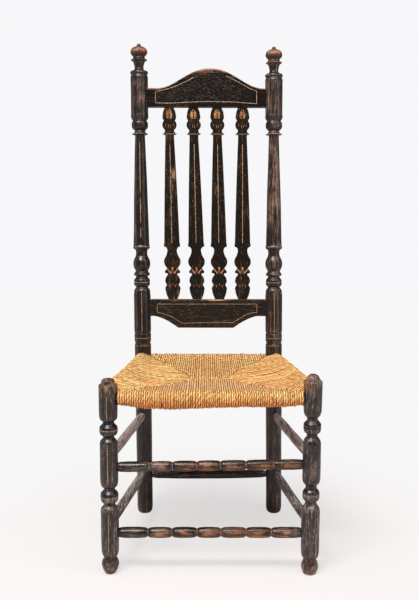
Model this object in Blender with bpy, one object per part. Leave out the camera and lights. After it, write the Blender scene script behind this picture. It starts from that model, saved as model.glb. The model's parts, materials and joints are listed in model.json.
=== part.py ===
"""Banister-back side chair with a rush seat, in metres, +Z up.

The chair faces -Y and stands on z = 0, with the middle of its footprint box at x = y = 0.
Two raked rear posts carry a crest rail, a stay rail and four split banisters. Two front legs,
seven stretchers and four seat rails complete the frame, joined by round tenons in sockets, and
by flat tenons in mortises with pegs. The rush seat is wrapped round the seat rails over a
stuffing pad.
"""
import math

import bmesh
import bpy
from mathutils import Matrix, Vector

# Joinery: the gap left in every joint, the distance under which two points are one, how far
# cutters run past a face, and the wall that is kept between two sockets in one leg.
CLEARANCE = 0.0003
WELD = 0.00001
OVERRUN = 0.004
SOCKET_WALL = 0.0010

# Plan of the chair at the floor.
LEG_SPACING = 0.4266
POST_SPACING = 0.3292
SEAT_DEPTH = 0.3294

# The back as found: its rake to the rear, and its lean towards the left post, over its height.
BACK_RAKE = 0.0511
BACK_LEAN = 0.0102

# Front legs. They were turned by eye, so each has its own levels round the rungs and rails.
LEG_WIDTH = 0.0372
LEG_HEAD_WIDTH = 0.0402
LEG_CAP_HEIGHT = 0.0160
LEFT_FOOT_HEIGHT = 0.0660
LEFT_SHAFT_ABOVE_LOWER_RUNG = 0.0370
LEFT_SHAFT_BELOW_UPPER_RUNG = 0.0245
LEFT_SHAFT_ABOVE_UPPER_RUNG = 0.0350
LEFT_HEAD_BELOW_FRONT_RAIL = 0.0290
LEFT_HEAD_ABOVE_SIDE_RAIL = 0.0125
RIGHT_FOOT_HEIGHT = 0.0618
RIGHT_SHAFT_ABOVE_LOWER_RUNG = 0.0379
RIGHT_SHAFT_BELOW_UPPER_RUNG = 0.0197
RIGHT_SHAFT_ABOVE_UPPER_RUNG = 0.0369
RIGHT_HEAD_BELOW_FRONT_RAIL = 0.0208
RIGHT_HEAD_ABOVE_SIDE_RAIL = 0.0220

# Rear posts. The right finial was turned a little lower.
POST_WIDTH = 0.0420
POST_FOOT_ROUNDING = 0.0120
SEAT_COLLAR_HEIGHT = 0.0330
BLOCK_BELOW_STAY_RAIL = 0.0085
BLOCK_ABOVE_STAY_RAIL = 0.0100
LOWER_TURNING_HEIGHT = 0.1260
UPPER_TURNING_HEIGHT = 0.0560
BLOCK_BELOW_CREST_RAIL = 0.0208
BLOCK_ABOVE_CREST_RAIL = 0.0277
FINIAL_HEIGHT = 0.0805
RIGHT_FINIAL_DROP = 0.0060

# Crest rail and stay rail, sawn from board and tenoned into the posts. Heights along the back,
# the stay rail's top from the front seat rail, and the crest rail's foot from the stay rail.
BACK_RAIL_THICKNESS = 0.0190
RAIL_TENON_THICKNESS = 0.0090
RAIL_TENON_SHOULDER = 0.0050
RAIL_TENON_PAST_AXIS = 0.0030
CREST_RAIL_ABOVE_STAY_RAIL = 0.4718
CREST_END_HEIGHT = 0.0450
CREST_RISE = 0.0472
CREST_OGEE_RUN = 0.1280
CREST_PEAK_SHIFT = 0.0080
STAY_RAIL_ABOVE_SEAT_RAIL = 0.1635
STAY_END_HEIGHT = 0.0415
STAY_DROP = 0.0295
STAY_DROP_RUN = 0.0610
STAY_FLAT_WIDTH = 0.1380
STAY_DROP_SHIFT = -0.0055

# Pegs driven from behind through each rail tenon.
PEG_WIDTH = 0.0060
PEG_LENGTH = 0.0290
PEG_FROM_POST_AXIS = 0.0090
PEG_HEAD_FROM_RAIL = 0.0085

# Split banisters: flat in front, half round behind.
BANISTER_WIDTH = 0.0400
BANISTER_SETBACK = 0.0035
BANISTER_TENON_WIDTH = 0.0160
BANISTER_TENON_LENGTH = 0.0140

# Stretchers: the front ones' heights above the floor, the others' above those, widths, tenons.
FRONT_LOWER_HEIGHT = 0.0905
FRONT_UPPER_HEIGHT = 0.2350
FRONT_UPPER_RISE = 0.0065
SIDE_LOWER_ABOVE_FRONT = 0.0170
SIDE_UPPER_ABOVE_FRONT = 0.0200
REAR_ABOVE_FRONT_LOWER = 0.0045
REAR_RISE = 0.0025
FRONT_LOWER_SWELL = 0.0227
FRONT_UPPER_SWELL = 0.0215
SAUSAGE_WAIST = 0.0162
RUNG_WIDTH = 0.0198
REAR_RUNG_WIDTH = 0.0224
RUNG_TAPER = 0.0200
RUNG_TENON_WIDTH = 0.0125
DEEP_TENON_PAST_AXIS = 0.0060
SHOULDER_GAP = 0.0005

# Seat rails, hidden in the rush: the front one's height above the floor, the others' above it.
FRONT_RAIL_HEIGHT = 0.3825
SIDE_RAIL_ABOVE_FRONT = 0.0135
REAR_RAIL_ABOVE_FRONT = 0.0085
SEAT_RAIL_WIDTH = 0.0220
SEAT_RAIL_TAPER = 0.0300
SEAT_TENON_WIDTH = 0.0130

# Rush seat: its wrap round the rails, its thinner middle, its sag, and the stuffing's skin.
RUSH_WRAP = 0.0065
RUSH_MIDDLE_THICKNESS = 0.0270
RUSH_SKIN = 0.0060
SEAT_SAG = 0.0100
SAG_SPREAD = 0.0500

# Turned outlines. Each row is a height share of the section, a width share of the piece, and
# how far the stretch up to the next row bows outwards, as a share of that stretch.
LEG_FOOT_SHARES = (
    (0.00, 0.46, 0.10), (0.34, 0.965, 0.14), (0.54, 0.72, -0.10), (0.585, 0.735, 0.10),
    (0.88, 0.975, 0.02), (1.00, 1.00, 0.00))
LEG_NECK_SHARES = (
    (0.00, 1.00, 0.15), (0.125, 0.68, 0.00), (0.16, 0.64, 0.00), (0.20, 0.74, 0.20),
    (0.595, 0.69, -0.10), (0.66, 0.61, -0.10), (0.70, 0.66, 0.12), (0.93, 0.975, 0.00),
    (1.00, 1.00, 0.00))
LEG_HEAD_SHARES = ((0.00, 0.925, 0.00), (0.55, 1.00, 0.00), (1.00, 1.00, 0.00))
LEG_CAP_SHARES = ((0.00, 1.00, 0.10), (0.10, 0.90, 0.00), (0.13, 0.70, 0.26), (1.00, 0.00, 0.00))
POST_FOOT_SHARES = ((0.00, 0.64, 0.14), (1.00, 0.93, 0.00))
SEAT_COLLAR_SHARES = (
    (0.00, 0.965, 0.00), (0.05, 0.89, 0.00), (0.12, 0.89, 0.10), (0.80, 0.915, 0.00),
    (0.86, 0.915, 0.00), (0.94, 0.99, 0.00), (1.00, 0.99, 0.00))
LOWER_TURNING_SHARES = (
    (0.00, 0.99, 0.12), (0.165, 0.71, 0.00), (0.175, 0.71, 0.20), (0.36, 0.69, 0.00),
    (0.38, 0.69, 0.00), (0.405, 0.92, 0.00), (0.44, 0.91, -0.12), (0.485, 0.72, 0.18),
    (0.76, 0.76, -0.10), (0.88, 0.68, 0.00), (0.935, 0.95, 0.12), (0.985, 0.95, 0.00),
    (1.00, 0.905, 0.00))
COLUMN_SHARES = ((0.00, 0.905, 0.003), (1.00, 0.575, 0.00))
UPPER_TURNING_SHARES = (
    (0.00, 0.575, 0.00), (0.115, 0.575, 0.00), (0.155, 0.91, 0.10), (0.215, 0.91, -0.10),
    (0.29, 0.66, 0.00), (0.37, 0.62, 0.20), (0.78, 0.81, 0.00), (0.81, 0.81, 0.15),
    (1.00, 1.00, 0.00))
FINIAL_SHARES = (
    (0.00, 1.00, 0.10), (0.055, 0.91, 0.00), (0.075, 0.91, 0.30), (0.195, 0.78, 0.00),
    (0.235, 0.54, -0.10), (0.31, 0.52, -0.05), (0.475, 0.72, 0.00), (0.495, 0.905, 0.00),
    (0.515, 0.905, 0.00), (0.545, 0.72, -0.10), (0.60, 0.66, 0.16), (0.732, 0.98, 0.18),
    (0.89, 0.42, -0.05), (0.93, 0.21, 0.15), (1.00, 0.12, 0.00))
BANISTER_FOOT_SHARES = (
    (0.00, 0.56, 0.05), (0.17, 0.92, 0.15), (0.275, 0.75, 0.00), (0.285, 0.75, 0.22),
    (0.42, 0.68, 0.00), (0.450, 0.61, 0.00), (0.482, 0.61, 0.00), (0.500, 0.94, 0.00),
    (0.532, 0.94, -0.12), (0.575, 0.80, 0.00), (0.60, 0.80, 0.16), (0.80, 0.77, -0.08),
    (0.87, 0.61, 0.00), (0.938, 0.66, 0.00), (0.957, 0.98, 0.10), (0.987, 0.98, 0.00),
    (1.00, 0.95, 0.00))
BANISTER_HEAD_SHARES = (
    (0.00, 0.54, 0.00), (0.105, 0.54, 0.00), (0.135, 0.86, 0.00), (0.175, 0.86, -0.10),
    (0.225, 0.60, 0.00), (0.275, 0.57, 0.17), (0.575, 0.70, 0.14), (0.77, 0.79, 0.00),
    (1.00, 0.57, 0.00))

# Where the banisters stand between the post axes, and where the front stretchers have their
# waists between the legs, as shares of that distance.
BANISTER_FOOT_PLACE_SHARES = (0.235, 0.418, 0.587, 0.762)
BANISTER_HEAD_PLACE_SHARES = (0.220, 0.400, 0.576, 0.765)
FRONT_LOWER_WAIST_SHARES = (0.159, 0.290, 0.427, 0.559, 0.696, 0.833)
FRONT_UPPER_WAIST_SHARES = (0.170, 0.294, 0.427, 0.554, 0.692, 0.841)

# Half of the crest rail's ogee from its peak, and the stay rail's drop from its flat: shares
# of the run, shares of the rise, and the bow of each stretch.
CREST_OGEE_SHARES = ((0.00, 1.00, 0.068), (0.414, 0.694, 0.00), (0.68, 0.27, -0.068), (1.00, 0.00, 0.00))
STAY_DROP_BOW_SHARE = 0.078

# How far in from each seat rail's axis the top of the rush falls to its middle thickness, and
# where the seat's grid has its lines: at the rails in roll radii, inside in shares.
ROLL_FALL_SHARE = 1.8
ROLL_LINE_SHARES = (1.000, 0.866, 0.500, 0.000, -0.900, -1.800)
MIDDLE_LINE_SHARES = (0.30, 0.50, 0.70)
PAD_LINE_SHARES = (0.00, 0.12, 0.30, 0.50, 0.70, 0.88, 1.00)

# Facets.
POST_SIDES = 12
RUNG_SIDES = 12
BANISTER_SIDES = 6
PEG_SIDES = 8
ARC_FACET = math.radians(30)
SWELL_FACET = math.radians(8)
SHARP_ANGLE = math.radians(35)
FULL_TURN = 2 * math.pi
HALF_TURN = math.pi

LEFT = -1
RIGHT = 1
SIDES_OF_CHAIR = {"left": LEFT, "right": RIGHT}

BLACK_PAINT = (0.020, 0.017, 0.015)
WORN_PAINT = (0.045, 0.030, 0.022)
BARE_HARDWOOD = (0.310, 0.200, 0.110)
RUSH = (0.680, 0.380, 0.110)
STUFFING = (0.450, 0.300, 0.130)


# Heights that follow from the sizes above, measured up the leg or up the raked back.
SIDE_LOWER_HEIGHT = FRONT_LOWER_HEIGHT + SIDE_LOWER_ABOVE_FRONT
SIDE_UPPER_HEIGHT = FRONT_UPPER_HEIGHT + SIDE_UPPER_ABOVE_FRONT
REAR_HEIGHT = FRONT_LOWER_HEIGHT + REAR_ABOVE_FRONT_LOWER
SIDE_RAIL_HEIGHT = FRONT_RAIL_HEIGHT + SIDE_RAIL_ABOVE_FRONT
REAR_RAIL_HEIGHT = FRONT_RAIL_HEIGHT + REAR_RAIL_ABOVE_FRONT
STAY_RAIL_TOP = FRONT_RAIL_HEIGHT + STAY_RAIL_ABOVE_SEAT_RAIL
CREST_RAIL_FOOT = STAY_RAIL_TOP + CREST_RAIL_ABOVE_STAY_RAIL
LEG_LEVELS = {
    LEFT: (
        LEFT_FOOT_HEIGHT, SIDE_LOWER_HEIGHT + LEFT_SHAFT_ABOVE_LOWER_RUNG,
        FRONT_UPPER_HEIGHT - LEFT_SHAFT_BELOW_UPPER_RUNG,
        SIDE_UPPER_HEIGHT + LEFT_SHAFT_ABOVE_UPPER_RUNG,
        FRONT_RAIL_HEIGHT - LEFT_HEAD_BELOW_FRONT_RAIL,
        SIDE_RAIL_HEIGHT + LEFT_HEAD_ABOVE_SIDE_RAIL),
    RIGHT: (
        RIGHT_FOOT_HEIGHT, SIDE_LOWER_HEIGHT + RIGHT_SHAFT_ABOVE_LOWER_RUNG,
        FRONT_UPPER_HEIGHT - RIGHT_SHAFT_BELOW_UPPER_RUNG,
        SIDE_UPPER_HEIGHT + RIGHT_SHAFT_ABOVE_UPPER_RUNG,
        FRONT_RAIL_HEIGHT - RIGHT_HEAD_BELOW_FRONT_RAIL,
        SIDE_RAIL_HEIGHT + RIGHT_HEAD_ABOVE_SIDE_RAIL)}
STAY_BLOCK_FOOT = STAY_RAIL_TOP - STAY_END_HEIGHT - STAY_DROP - BLOCK_BELOW_STAY_RAIL
STAY_BLOCK_TOP = STAY_RAIL_TOP + BLOCK_ABOVE_STAY_RAIL
COLUMN_FOOT = STAY_BLOCK_TOP + LOWER_TURNING_HEIGHT
CREST_BLOCK_FOOT = CREST_RAIL_FOOT - BLOCK_BELOW_CREST_RAIL
COLUMN_TOP = CREST_BLOCK_FOOT - UPPER_TURNING_HEIGHT
CREST_BLOCK_TOP = CREST_RAIL_FOOT + CREST_END_HEIGHT + BLOCK_ABOVE_CREST_RAIL
POST_HEIGHT = CREST_BLOCK_TOP + FINIAL_HEIGHT
RAKE_ANGLE = math.asin(BACK_RAKE / POST_HEIGHT)
LEAN_ANGLE = math.atan(BACK_LEAN / POST_HEIGHT)
ROLL_RADIUS = SEAT_RAIL_WIDTH / 2 + RUSH_WRAP


def clear_scene():
    """Empty the scene of objects."""
    for old in list(bpy.data.objects):
        bpy.data.objects.remove(old, do_unlink=True)


def material(name, color, roughness):
    """A plain Principled finish."""
    finish = bpy.data.materials.new(name)
    finish.use_nodes = True
    shader = finish.node_tree.nodes["Principled BSDF"]
    shader.inputs["Base Color"].default_value = (*color, 1.0)
    shader.inputs["Roughness"].default_value = roughness
    shader.inputs["Metallic"].default_value = 0.0
    return finish


def solid(name, shape, finish=None, smooth=False):
    """An object made from a bmesh, which this uses up."""
    mesh = bpy.data.meshes.new(name)
    bmesh.ops.recalc_face_normals(shape, faces=shape.faces)
    shape.to_mesh(mesh)
    shape.free()
    if smooth:
        mesh.shade_smooth()
        mesh.set_sharp_from_angle(angle=SHARP_ANGLE)
    piece = bpy.data.objects.new(name, mesh)
    bpy.context.scene.collection.objects.link(piece)
    if finish:
        mesh.materials.append(finish)
    return piece


def as_cutter(piece):
    """Hide a piece that only shapes other pieces."""
    piece.hide_render = True
    piece.display_type = "WIRE"
    return piece


def combine(piece, other, operation):
    """Cut other from piece, or join it on, with an exact Boolean."""
    boolean = piece.modifiers.new(operation.lower() + "_" + other.name, "BOOLEAN")
    boolean.operation = operation
    boolean.solver = "EXACT"
    boolean.object = other


def bowed(start, end, bow, facet=ARC_FACET):
    """Points after start, up to end, on a circle's arc that rises bow times its chord."""
    if not bow:
        return [end]
    chord = end - start
    outwards = Vector((chord.y, -chord.x))
    half_turn = 2 * math.atan(2 * bow)
    steps = max(2, math.ceil(abs(2 * half_turn) / facet))
    points = []
    for step in range(1, steps + 1):
        turn = half_turn * (2 * step / steps - 1)
        along = 0.5 + math.sin(turn) / (2 * math.sin(half_turn))
        rise = (math.cos(turn) - math.cos(half_turn)) / (2 * math.sin(half_turn))
        points.append(start + along * chord + rise * outwards)
    return points


def turning(foot, head, width, shares):
    """The outline of one turned section, as (radius, height) points from foot to head."""
    rows = []
    for height_share, width_share, bow in shares:
        point = Vector((width * width_share / 2, foot + (head - foot) * height_share))
        rows.append((point, bow))
    outline = [rows[0][0]]
    for (start, bow), (end, _) in zip(rows, rows[1:]):
        outline += bowed(start, end, bow)
    return outline


def joined_outline(sections):
    """One outline from sections that follow each other, with no point repeated."""
    outline = []
    for section in sections:
        for point in section:
            if not outline or (point - outline[-1]).length > WELD:
                outline.append(point)
    return outline


def turned_solid(outline, sides, sweep=FULL_TURN):
    """An outline spun about Z. Half a turn leaves a flat side, facing -Y."""
    shape = bmesh.new()
    foot = Vector((0, outline[0].y))
    head = Vector((0, outline[-1].y))
    profile = [shape.verts.new((point.x, 0, point.y)) for point in joined_outline([[foot], outline, [head]])]
    edges = [shape.edges.new(pair) for pair in zip(profile, profile[1:])]
    bmesh.ops.spin(
        shape, geom=profile + edges, cent=(0, 0, 0), axis=(0, 0, 1), dvec=(0, 0, 0), angle=sweep,
        steps=sides, use_merge=sweep == FULL_TURN, use_duplicate=False)
    bmesh.ops.remove_doubles(shape, verts=shape.verts, dist=WELD)
    open_edges = [edge for edge in shape.edges if edge.is_boundary]
    if open_edges:
        bmesh.ops.contextual_create(shape, geom=open_edges)
    return shape


def box_solid(low, high):
    """A box between two corners."""
    shape = bmesh.new()
    low = Vector(low)
    high = Vector(high)
    place = Matrix.Translation((low + high) / 2) @ Matrix.Diagonal((*(high - low), 1))
    bmesh.ops.create_cube(shape, size=1, matrix=place)
    return shape


def sawn_board(outline, thickness):
    """A board of an (x, z) outline, drawn going round, extruded to both sides of y = 0."""
    shape = bmesh.new()
    front = shape.faces.new([shape.verts.new((point.x, -thickness / 2, point.y)) for point in outline])
    rear = bmesh.ops.extrude_face_region(shape, geom=[front])["geom"]
    moving = [part for part in rear if isinstance(part, bmesh.types.BMVert)]
    bmesh.ops.translate(shape, verts=moving, vec=(0, thickness, 0))
    return shape


def moved(shape, matrix):
    """The same bmesh carried by a matrix."""
    bmesh.ops.transform(shape, matrix=matrix, verts=shape.verts)
    return shape


def group(shapes):
    """Several separate bmeshes as one, for a cutter that makes several cuts."""
    whole = bmesh.new()
    for shape in shapes:
        carrier = bpy.data.meshes.new("carrier")
        shape.to_mesh(carrier)
        shape.free()
        whole.from_mesh(carrier)
        bpy.data.meshes.remove(carrier)
    return whole


def grown(outline):
    """An outline made one clearance wider, and one clearance longer at both ends."""
    wider = [Vector((radius + CLEARANCE, height)) for radius, height in outline]
    wider[0].y -= CLEARANCE
    wider[-1].y += CLEARANCE
    return wider


def along(start, end):
    """The matrix that lays local Z on the line from start to end, with start at its origin."""
    turn = (end - start).to_track_quat("Z", "Y").to_matrix().to_4x4()
    return Matrix.Translation(start) @ turn


# The legs, posts and their axes


def leg_outline(side):
    """A front leg's outline, with its turned stretches between its own levels."""
    foot_top, lower_top, upper_foot, upper_top, head_foot, head_top = LEG_LEVELS[side]
    return joined_outline([
        turning(0, foot_top, LEG_WIDTH, LEG_FOOT_SHARES),
        turning(lower_top, upper_foot, LEG_WIDTH, LEG_NECK_SHARES),
        turning(upper_top, head_foot, LEG_WIDTH, LEG_NECK_SHARES),
        turning(head_foot, head_top, LEG_HEAD_WIDTH, LEG_HEAD_SHARES),
        turning(head_top, head_top + LEG_CAP_HEIGHT, LEG_HEAD_WIDTH, LEG_CAP_SHARES)])


def post_outline(finial_drop):
    """The rear post's outline, which starts below the floor so that it can be cut flat."""
    block_top = CREST_BLOCK_TOP - finial_drop
    collar_foot = STAY_BLOCK_FOOT - SEAT_COLLAR_HEIGHT
    foot = turning(0, POST_FOOT_ROUNDING, POST_WIDTH, POST_FOOT_SHARES)
    below = Vector((foot[0].x, -OVERRUN))
    return joined_outline([
        [below],
        foot,
        turning(collar_foot, STAY_BLOCK_FOOT, POST_WIDTH, SEAT_COLLAR_SHARES),
        turning(STAY_BLOCK_TOP, COLUMN_FOOT, POST_WIDTH, LOWER_TURNING_SHARES),
        turning(COLUMN_FOOT, COLUMN_TOP, POST_WIDTH, COLUMN_SHARES),
        turning(COLUMN_TOP, CREST_BLOCK_FOOT, POST_WIDTH, UPPER_TURNING_SHARES),
        turning(block_top, block_top + FINIAL_HEIGHT, POST_WIDTH, FINIAL_SHARES)])


def back_reach():
    """How far the raked post reaches behind the middle of its own foot."""
    return max(height * math.sin(RAKE_ANGLE) + radius * math.cos(RAKE_ANGLE)
               for radius, height in post_outline(0))


LEG_LINE = (LEG_HEAD_WIDTH / 2 - SEAT_DEPTH - back_reach()) / 2
POST_LINE = LEG_LINE + SEAT_DEPTH
BACK_FRAME = Matrix.Translation((0, POST_LINE, 0)) @ Matrix.Rotation(-RAKE_ANGLE, 4, "X")
LEAN = Matrix.Rotation(-LEAN_ANGLE, 4, "Y")


def post_x(side, height):
    """Where a post's axis is, across the back, at a height."""
    return side * POST_SPACING / 2 - math.tan(LEAN_ANGLE) * height


def leg_point(side, height):
    """A point on a front leg's axis."""
    return Vector((side * LEG_SPACING / 2, LEG_LINE, height))


def post_point(side, height):
    """A point on a rear post's axis."""
    return BACK_FRAME @ Vector((post_x(side, height), 0, height))


def make_back_frame():
    """The empty that carries everything in the raked back."""
    frame = bpy.data.objects.new("back_frame", None)
    bpy.context.scene.collection.objects.link(frame)
    frame.matrix_world = BACK_FRAME
    return frame


def make_front_legs(finish):
    """Two turned front legs, from ball foot to cap."""
    legs = {}
    for word, side in SIDES_OF_CHAIR.items():
        leg = solid("front_leg_" + word, turned_solid(leg_outline(side), POST_SIDES), finish, smooth=True)
        leg.location = leg_point(side, 0)
        legs[side] = leg
    return legs


def make_rear_posts(frame, finish):
    """Two turned rear posts, from the floor to the finial, cut flat where they stand."""
    posts = {}
    deep = OVERRUN + POST_WIDTH
    ground = box_solid(
        (-POST_SPACING, POST_LINE - POST_WIDTH, -deep), (POST_SPACING, POST_LINE + POST_WIDTH, 0))
    floor = as_cutter(solid("floor_cutter", ground))
    for word, side in SIDES_OF_CHAIR.items():
        drop = RIGHT_FINIAL_DROP if side == RIGHT else 0
        post = solid("rear_post_" + word, turned_solid(post_outline(drop), POST_SIDES), finish, smooth=True)
        post.parent = frame
        post.location = (post_x(side, 0), 0, 0)
        post.rotation_euler = LEAN.to_euler()
        combine(post, floor, "DIFFERENCE")
        posts[side] = post
    return posts


# Stretchers and seat rails: turned pieces with a round tenon at each end


def socket_reach(width, tenon_width, deep):
    """How far from a leg's axis a tenon ends: past it when deep, clear of deep ones if not."""
    if deep:
        return -DEEP_TENON_PAST_AXIS
    return tenon_width / 2 + CLEARANCE + SOCKET_WALL + CLEARANCE


def tenoned(length, start_width, end_width, tenon_width, deep, body):
    """An outline between two axes: tenon, body from body(foot, head), tenon."""
    reach = socket_reach(start_width, tenon_width, deep)
    foot = start_width / 2 + SHOULDER_GAP
    head = length - end_width / 2 - SHOULDER_GAP
    radius = tenon_width / 2
    return joined_outline([
        [Vector((radius, reach)), Vector((radius, foot))],
        body(foot, head),
        [Vector((radius, head)), Vector((radius, length - reach))]])


def plain_body(width, taper, end_width):
    """A round bar that tapers to its tenons."""
    def body(foot, head):
        return [
            Vector((end_width / 2, foot)), Vector((width / 2, foot + taper)),
            Vector((width / 2, head - taper)), Vector((end_width / 2, head))]
    return body


def sausage_body(swell, waist, waist_shares):
    """A row of long swellings, with a narrow waist between each two."""
    def body(foot, head):
        places = [foot] + [foot + (head - foot) * share for share in waist_shares] + [head]
        outline = [Vector((waist / 2, foot))]
        for start, end in zip(places, places[1:]):
            bow = (swell - waist) / 2 / (end - start)
            outline += bowed(Vector((waist / 2, start)), Vector((waist / 2, end)), bow, SWELL_FACET)
        return outline
    return body


def make_bar(name, start, end, outline, finish):
    """A turned bar between two axes, and the cutter that makes its sockets."""
    bar = solid(name, turned_solid(outline, RUNG_SIDES), finish, smooth=True)
    cutter = as_cutter(solid(name + "_socket_cutter", turned_solid(grown(outline), RUNG_SIDES)))
    for piece in (bar, cutter):
        piece.matrix_world = along(start, end)
    return bar, cutter


def make_stretchers(legs, posts, finish):
    """Two swelled front stretchers, four plain side ones and one at the rear."""
    front = {
        "upper": (FRONT_UPPER_HEIGHT, FRONT_UPPER_RISE, FRONT_UPPER_SWELL, FRONT_UPPER_WAIST_SHARES),
        "lower": (FRONT_LOWER_HEIGHT, 0, FRONT_LOWER_SWELL, FRONT_LOWER_WAIST_SHARES)}
    for word, (height, rise, swell, waist_shares) in front.items():
        start = leg_point(LEFT, height)
        end = leg_point(RIGHT, height + rise)
        body = sausage_body(swell, SAUSAGE_WAIST, waist_shares)
        outline = tenoned((end - start).length, LEG_WIDTH, LEG_WIDTH, RUNG_TENON_WIDTH, False, body)
        _, cutter = make_bar("front_stretcher_" + word, start, end, outline, finish)
        for leg in legs.values():
            combine(leg, cutter, "DIFFERENCE")
    plain = plain_body(RUNG_WIDTH, RUNG_TAPER, RUNG_TENON_WIDTH)
    for word, side in SIDES_OF_CHAIR.items():
        for level, height in {"upper": SIDE_UPPER_HEIGHT, "lower": SIDE_LOWER_HEIGHT}.items():
            start = leg_point(side, height)
            end = post_point(side, height)
            outline = tenoned((end - start).length, LEG_WIDTH, POST_WIDTH, RUNG_TENON_WIDTH, True, plain)
            name = "side_stretcher_" + word + "_" + level
            _, cutter = make_bar(name, start, end, outline, finish)
            combine(legs[side], cutter, "DIFFERENCE")
            combine(posts[side], cutter, "DIFFERENCE")
    start = post_point(LEFT, REAR_HEIGHT)
    end = post_point(RIGHT, REAR_HEIGHT + REAR_RISE)
    plain = plain_body(REAR_RUNG_WIDTH, RUNG_TAPER, RUNG_TENON_WIDTH)
    outline = tenoned((end - start).length, POST_WIDTH, POST_WIDTH, RUNG_TENON_WIDTH, False, plain)
    _, cutter = make_bar("rear_stretcher", start, end, outline, finish)
    for post in posts.values():
        combine(post, cutter, "DIFFERENCE")


def make_seat_rails(legs, posts, finish):
    """Four round seat rails, which the rush hides. Returns their cutters."""
    plain = plain_body(SEAT_RAIL_WIDTH, SEAT_RAIL_TAPER, SEAT_TENON_WIDTH)
    front = (leg_point(LEFT, FRONT_RAIL_HEIGHT), leg_point(RIGHT, FRONT_RAIL_HEIGHT))
    rear = (post_point(LEFT, REAR_RAIL_HEIGHT), post_point(RIGHT, REAR_RAIL_HEIGHT))
    left = (leg_point(LEFT, SIDE_RAIL_HEIGHT), post_point(LEFT, SIDE_RAIL_HEIGHT))
    right = (leg_point(RIGHT, SIDE_RAIL_HEIGHT), post_point(RIGHT, SIDE_RAIL_HEIGHT))
    rails = {
        "front": (front, LEG_HEAD_WIDTH, LEG_HEAD_WIDTH, False, legs.values()),
        "rear": (rear, POST_WIDTH, POST_WIDTH, False, posts.values()),
        "left": (left, LEG_HEAD_WIDTH, POST_WIDTH, True, (legs[LEFT], posts[LEFT])),
        "right": (right, LEG_HEAD_WIDTH, POST_WIDTH, True, (legs[RIGHT], posts[RIGHT]))}
    cutters = []
    for word, ((start, end), start_width, end_width, deep, holders) in rails.items():
        outline = tenoned((end - start).length, start_width, end_width, SEAT_TENON_WIDTH, deep, plain)
        _, cutter = make_bar("seat_rail_" + word, start, end, outline, finish)
        for holder in holders:
            combine(holder, cutter, "DIFFERENCE")
        cutters.append(cutter)
    return cutters


# Crest rail and stay rail


def crest_outline():
    """The crest rail's front outline, with x from the peak's own centre line, going round."""
    top = CREST_RAIL_FOOT + CREST_END_HEIGHT
    rows = [(Vector((run * CREST_OGEE_RUN, top + rise * CREST_RISE)), bow)
            for run, rise, bow in CREST_OGEE_SHARES]
    half = [rows[0][0]]
    for (start, bow), (end, _) in zip(rows, rows[1:]):
        half += bowed(start, end, -bow, SWELL_FACET)
    mirrored = [Vector((-point.x, point.y)) for point in reversed(half[1:])]
    return mirrored + half


def stay_outline():
    """The stay rail's lower edge, with x from the drop's own centre line, left to right."""
    end_foot = STAY_RAIL_TOP - STAY_END_HEIGHT
    flat = Vector((STAY_FLAT_WIDTH / 2, end_foot - STAY_DROP))
    shoulder = Vector((STAY_FLAT_WIDTH / 2 + STAY_DROP_RUN, end_foot))
    half = [flat] + bowed(flat, shoulder, -STAY_DROP_BOW_SHARE, SWELL_FACET)
    mirrored = [Vector((-point.x, point.y)) for point in reversed(half)]
    return mirrored + half


def rail_tenons(foot, head, grow):
    """The two flat tenons of a back rail, or their mortises when grown."""
    middle = (foot + head) / 2
    low = foot + RAIL_TENON_SHOULDER - grow
    high = head - RAIL_TENON_SHOULDER + grow
    half = RAIL_TENON_THICKNESS / 2 + grow
    boxes = []
    for side in (LEFT, RIGHT):
        axis = post_x(side, middle)
        outer = axis + side * (RAIL_TENON_PAST_AXIS + grow)
        inner = axis - side * (POST_WIDTH / 2 + OVERRUN)
        boxes.append(box_solid((min(outer, inner), -half, low), (max(outer, inner), half, high)))
    return group(boxes)


def peg_solids(grow):
    """A peg through each rail tenon, or the holes for them when grown, in the back's frame."""
    pegs = {}
    levels = {
        "crest": CREST_RAIL_FOOT + CREST_END_HEIGHT / 2, "stay": STAY_RAIL_TOP - STAY_END_HEIGHT / 2}
    head = BACK_RAIL_THICKNESS / 2 + PEG_HEAD_FROM_RAIL
    tip = head - PEG_LENGTH
    outline = [
        Vector((PEG_WIDTH / 2 + grow, tip - grow)),
        Vector((PEG_WIDTH / 2 + grow, head + (OVERRUN if grow else 0)))]
    for rail, level in levels.items():
        for word, side in SIDES_OF_CHAIR.items():
            place = Vector((post_x(side, level) - side * PEG_FROM_POST_AXIS, 0, level))
            turn = Matrix.Translation(place) @ Matrix.Rotation(-math.pi / 2, 4, "X")
            pegs[rail + "_peg_" + word] = moved(turned_solid(outline, PEG_SIDES), turn)
    return pegs


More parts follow.
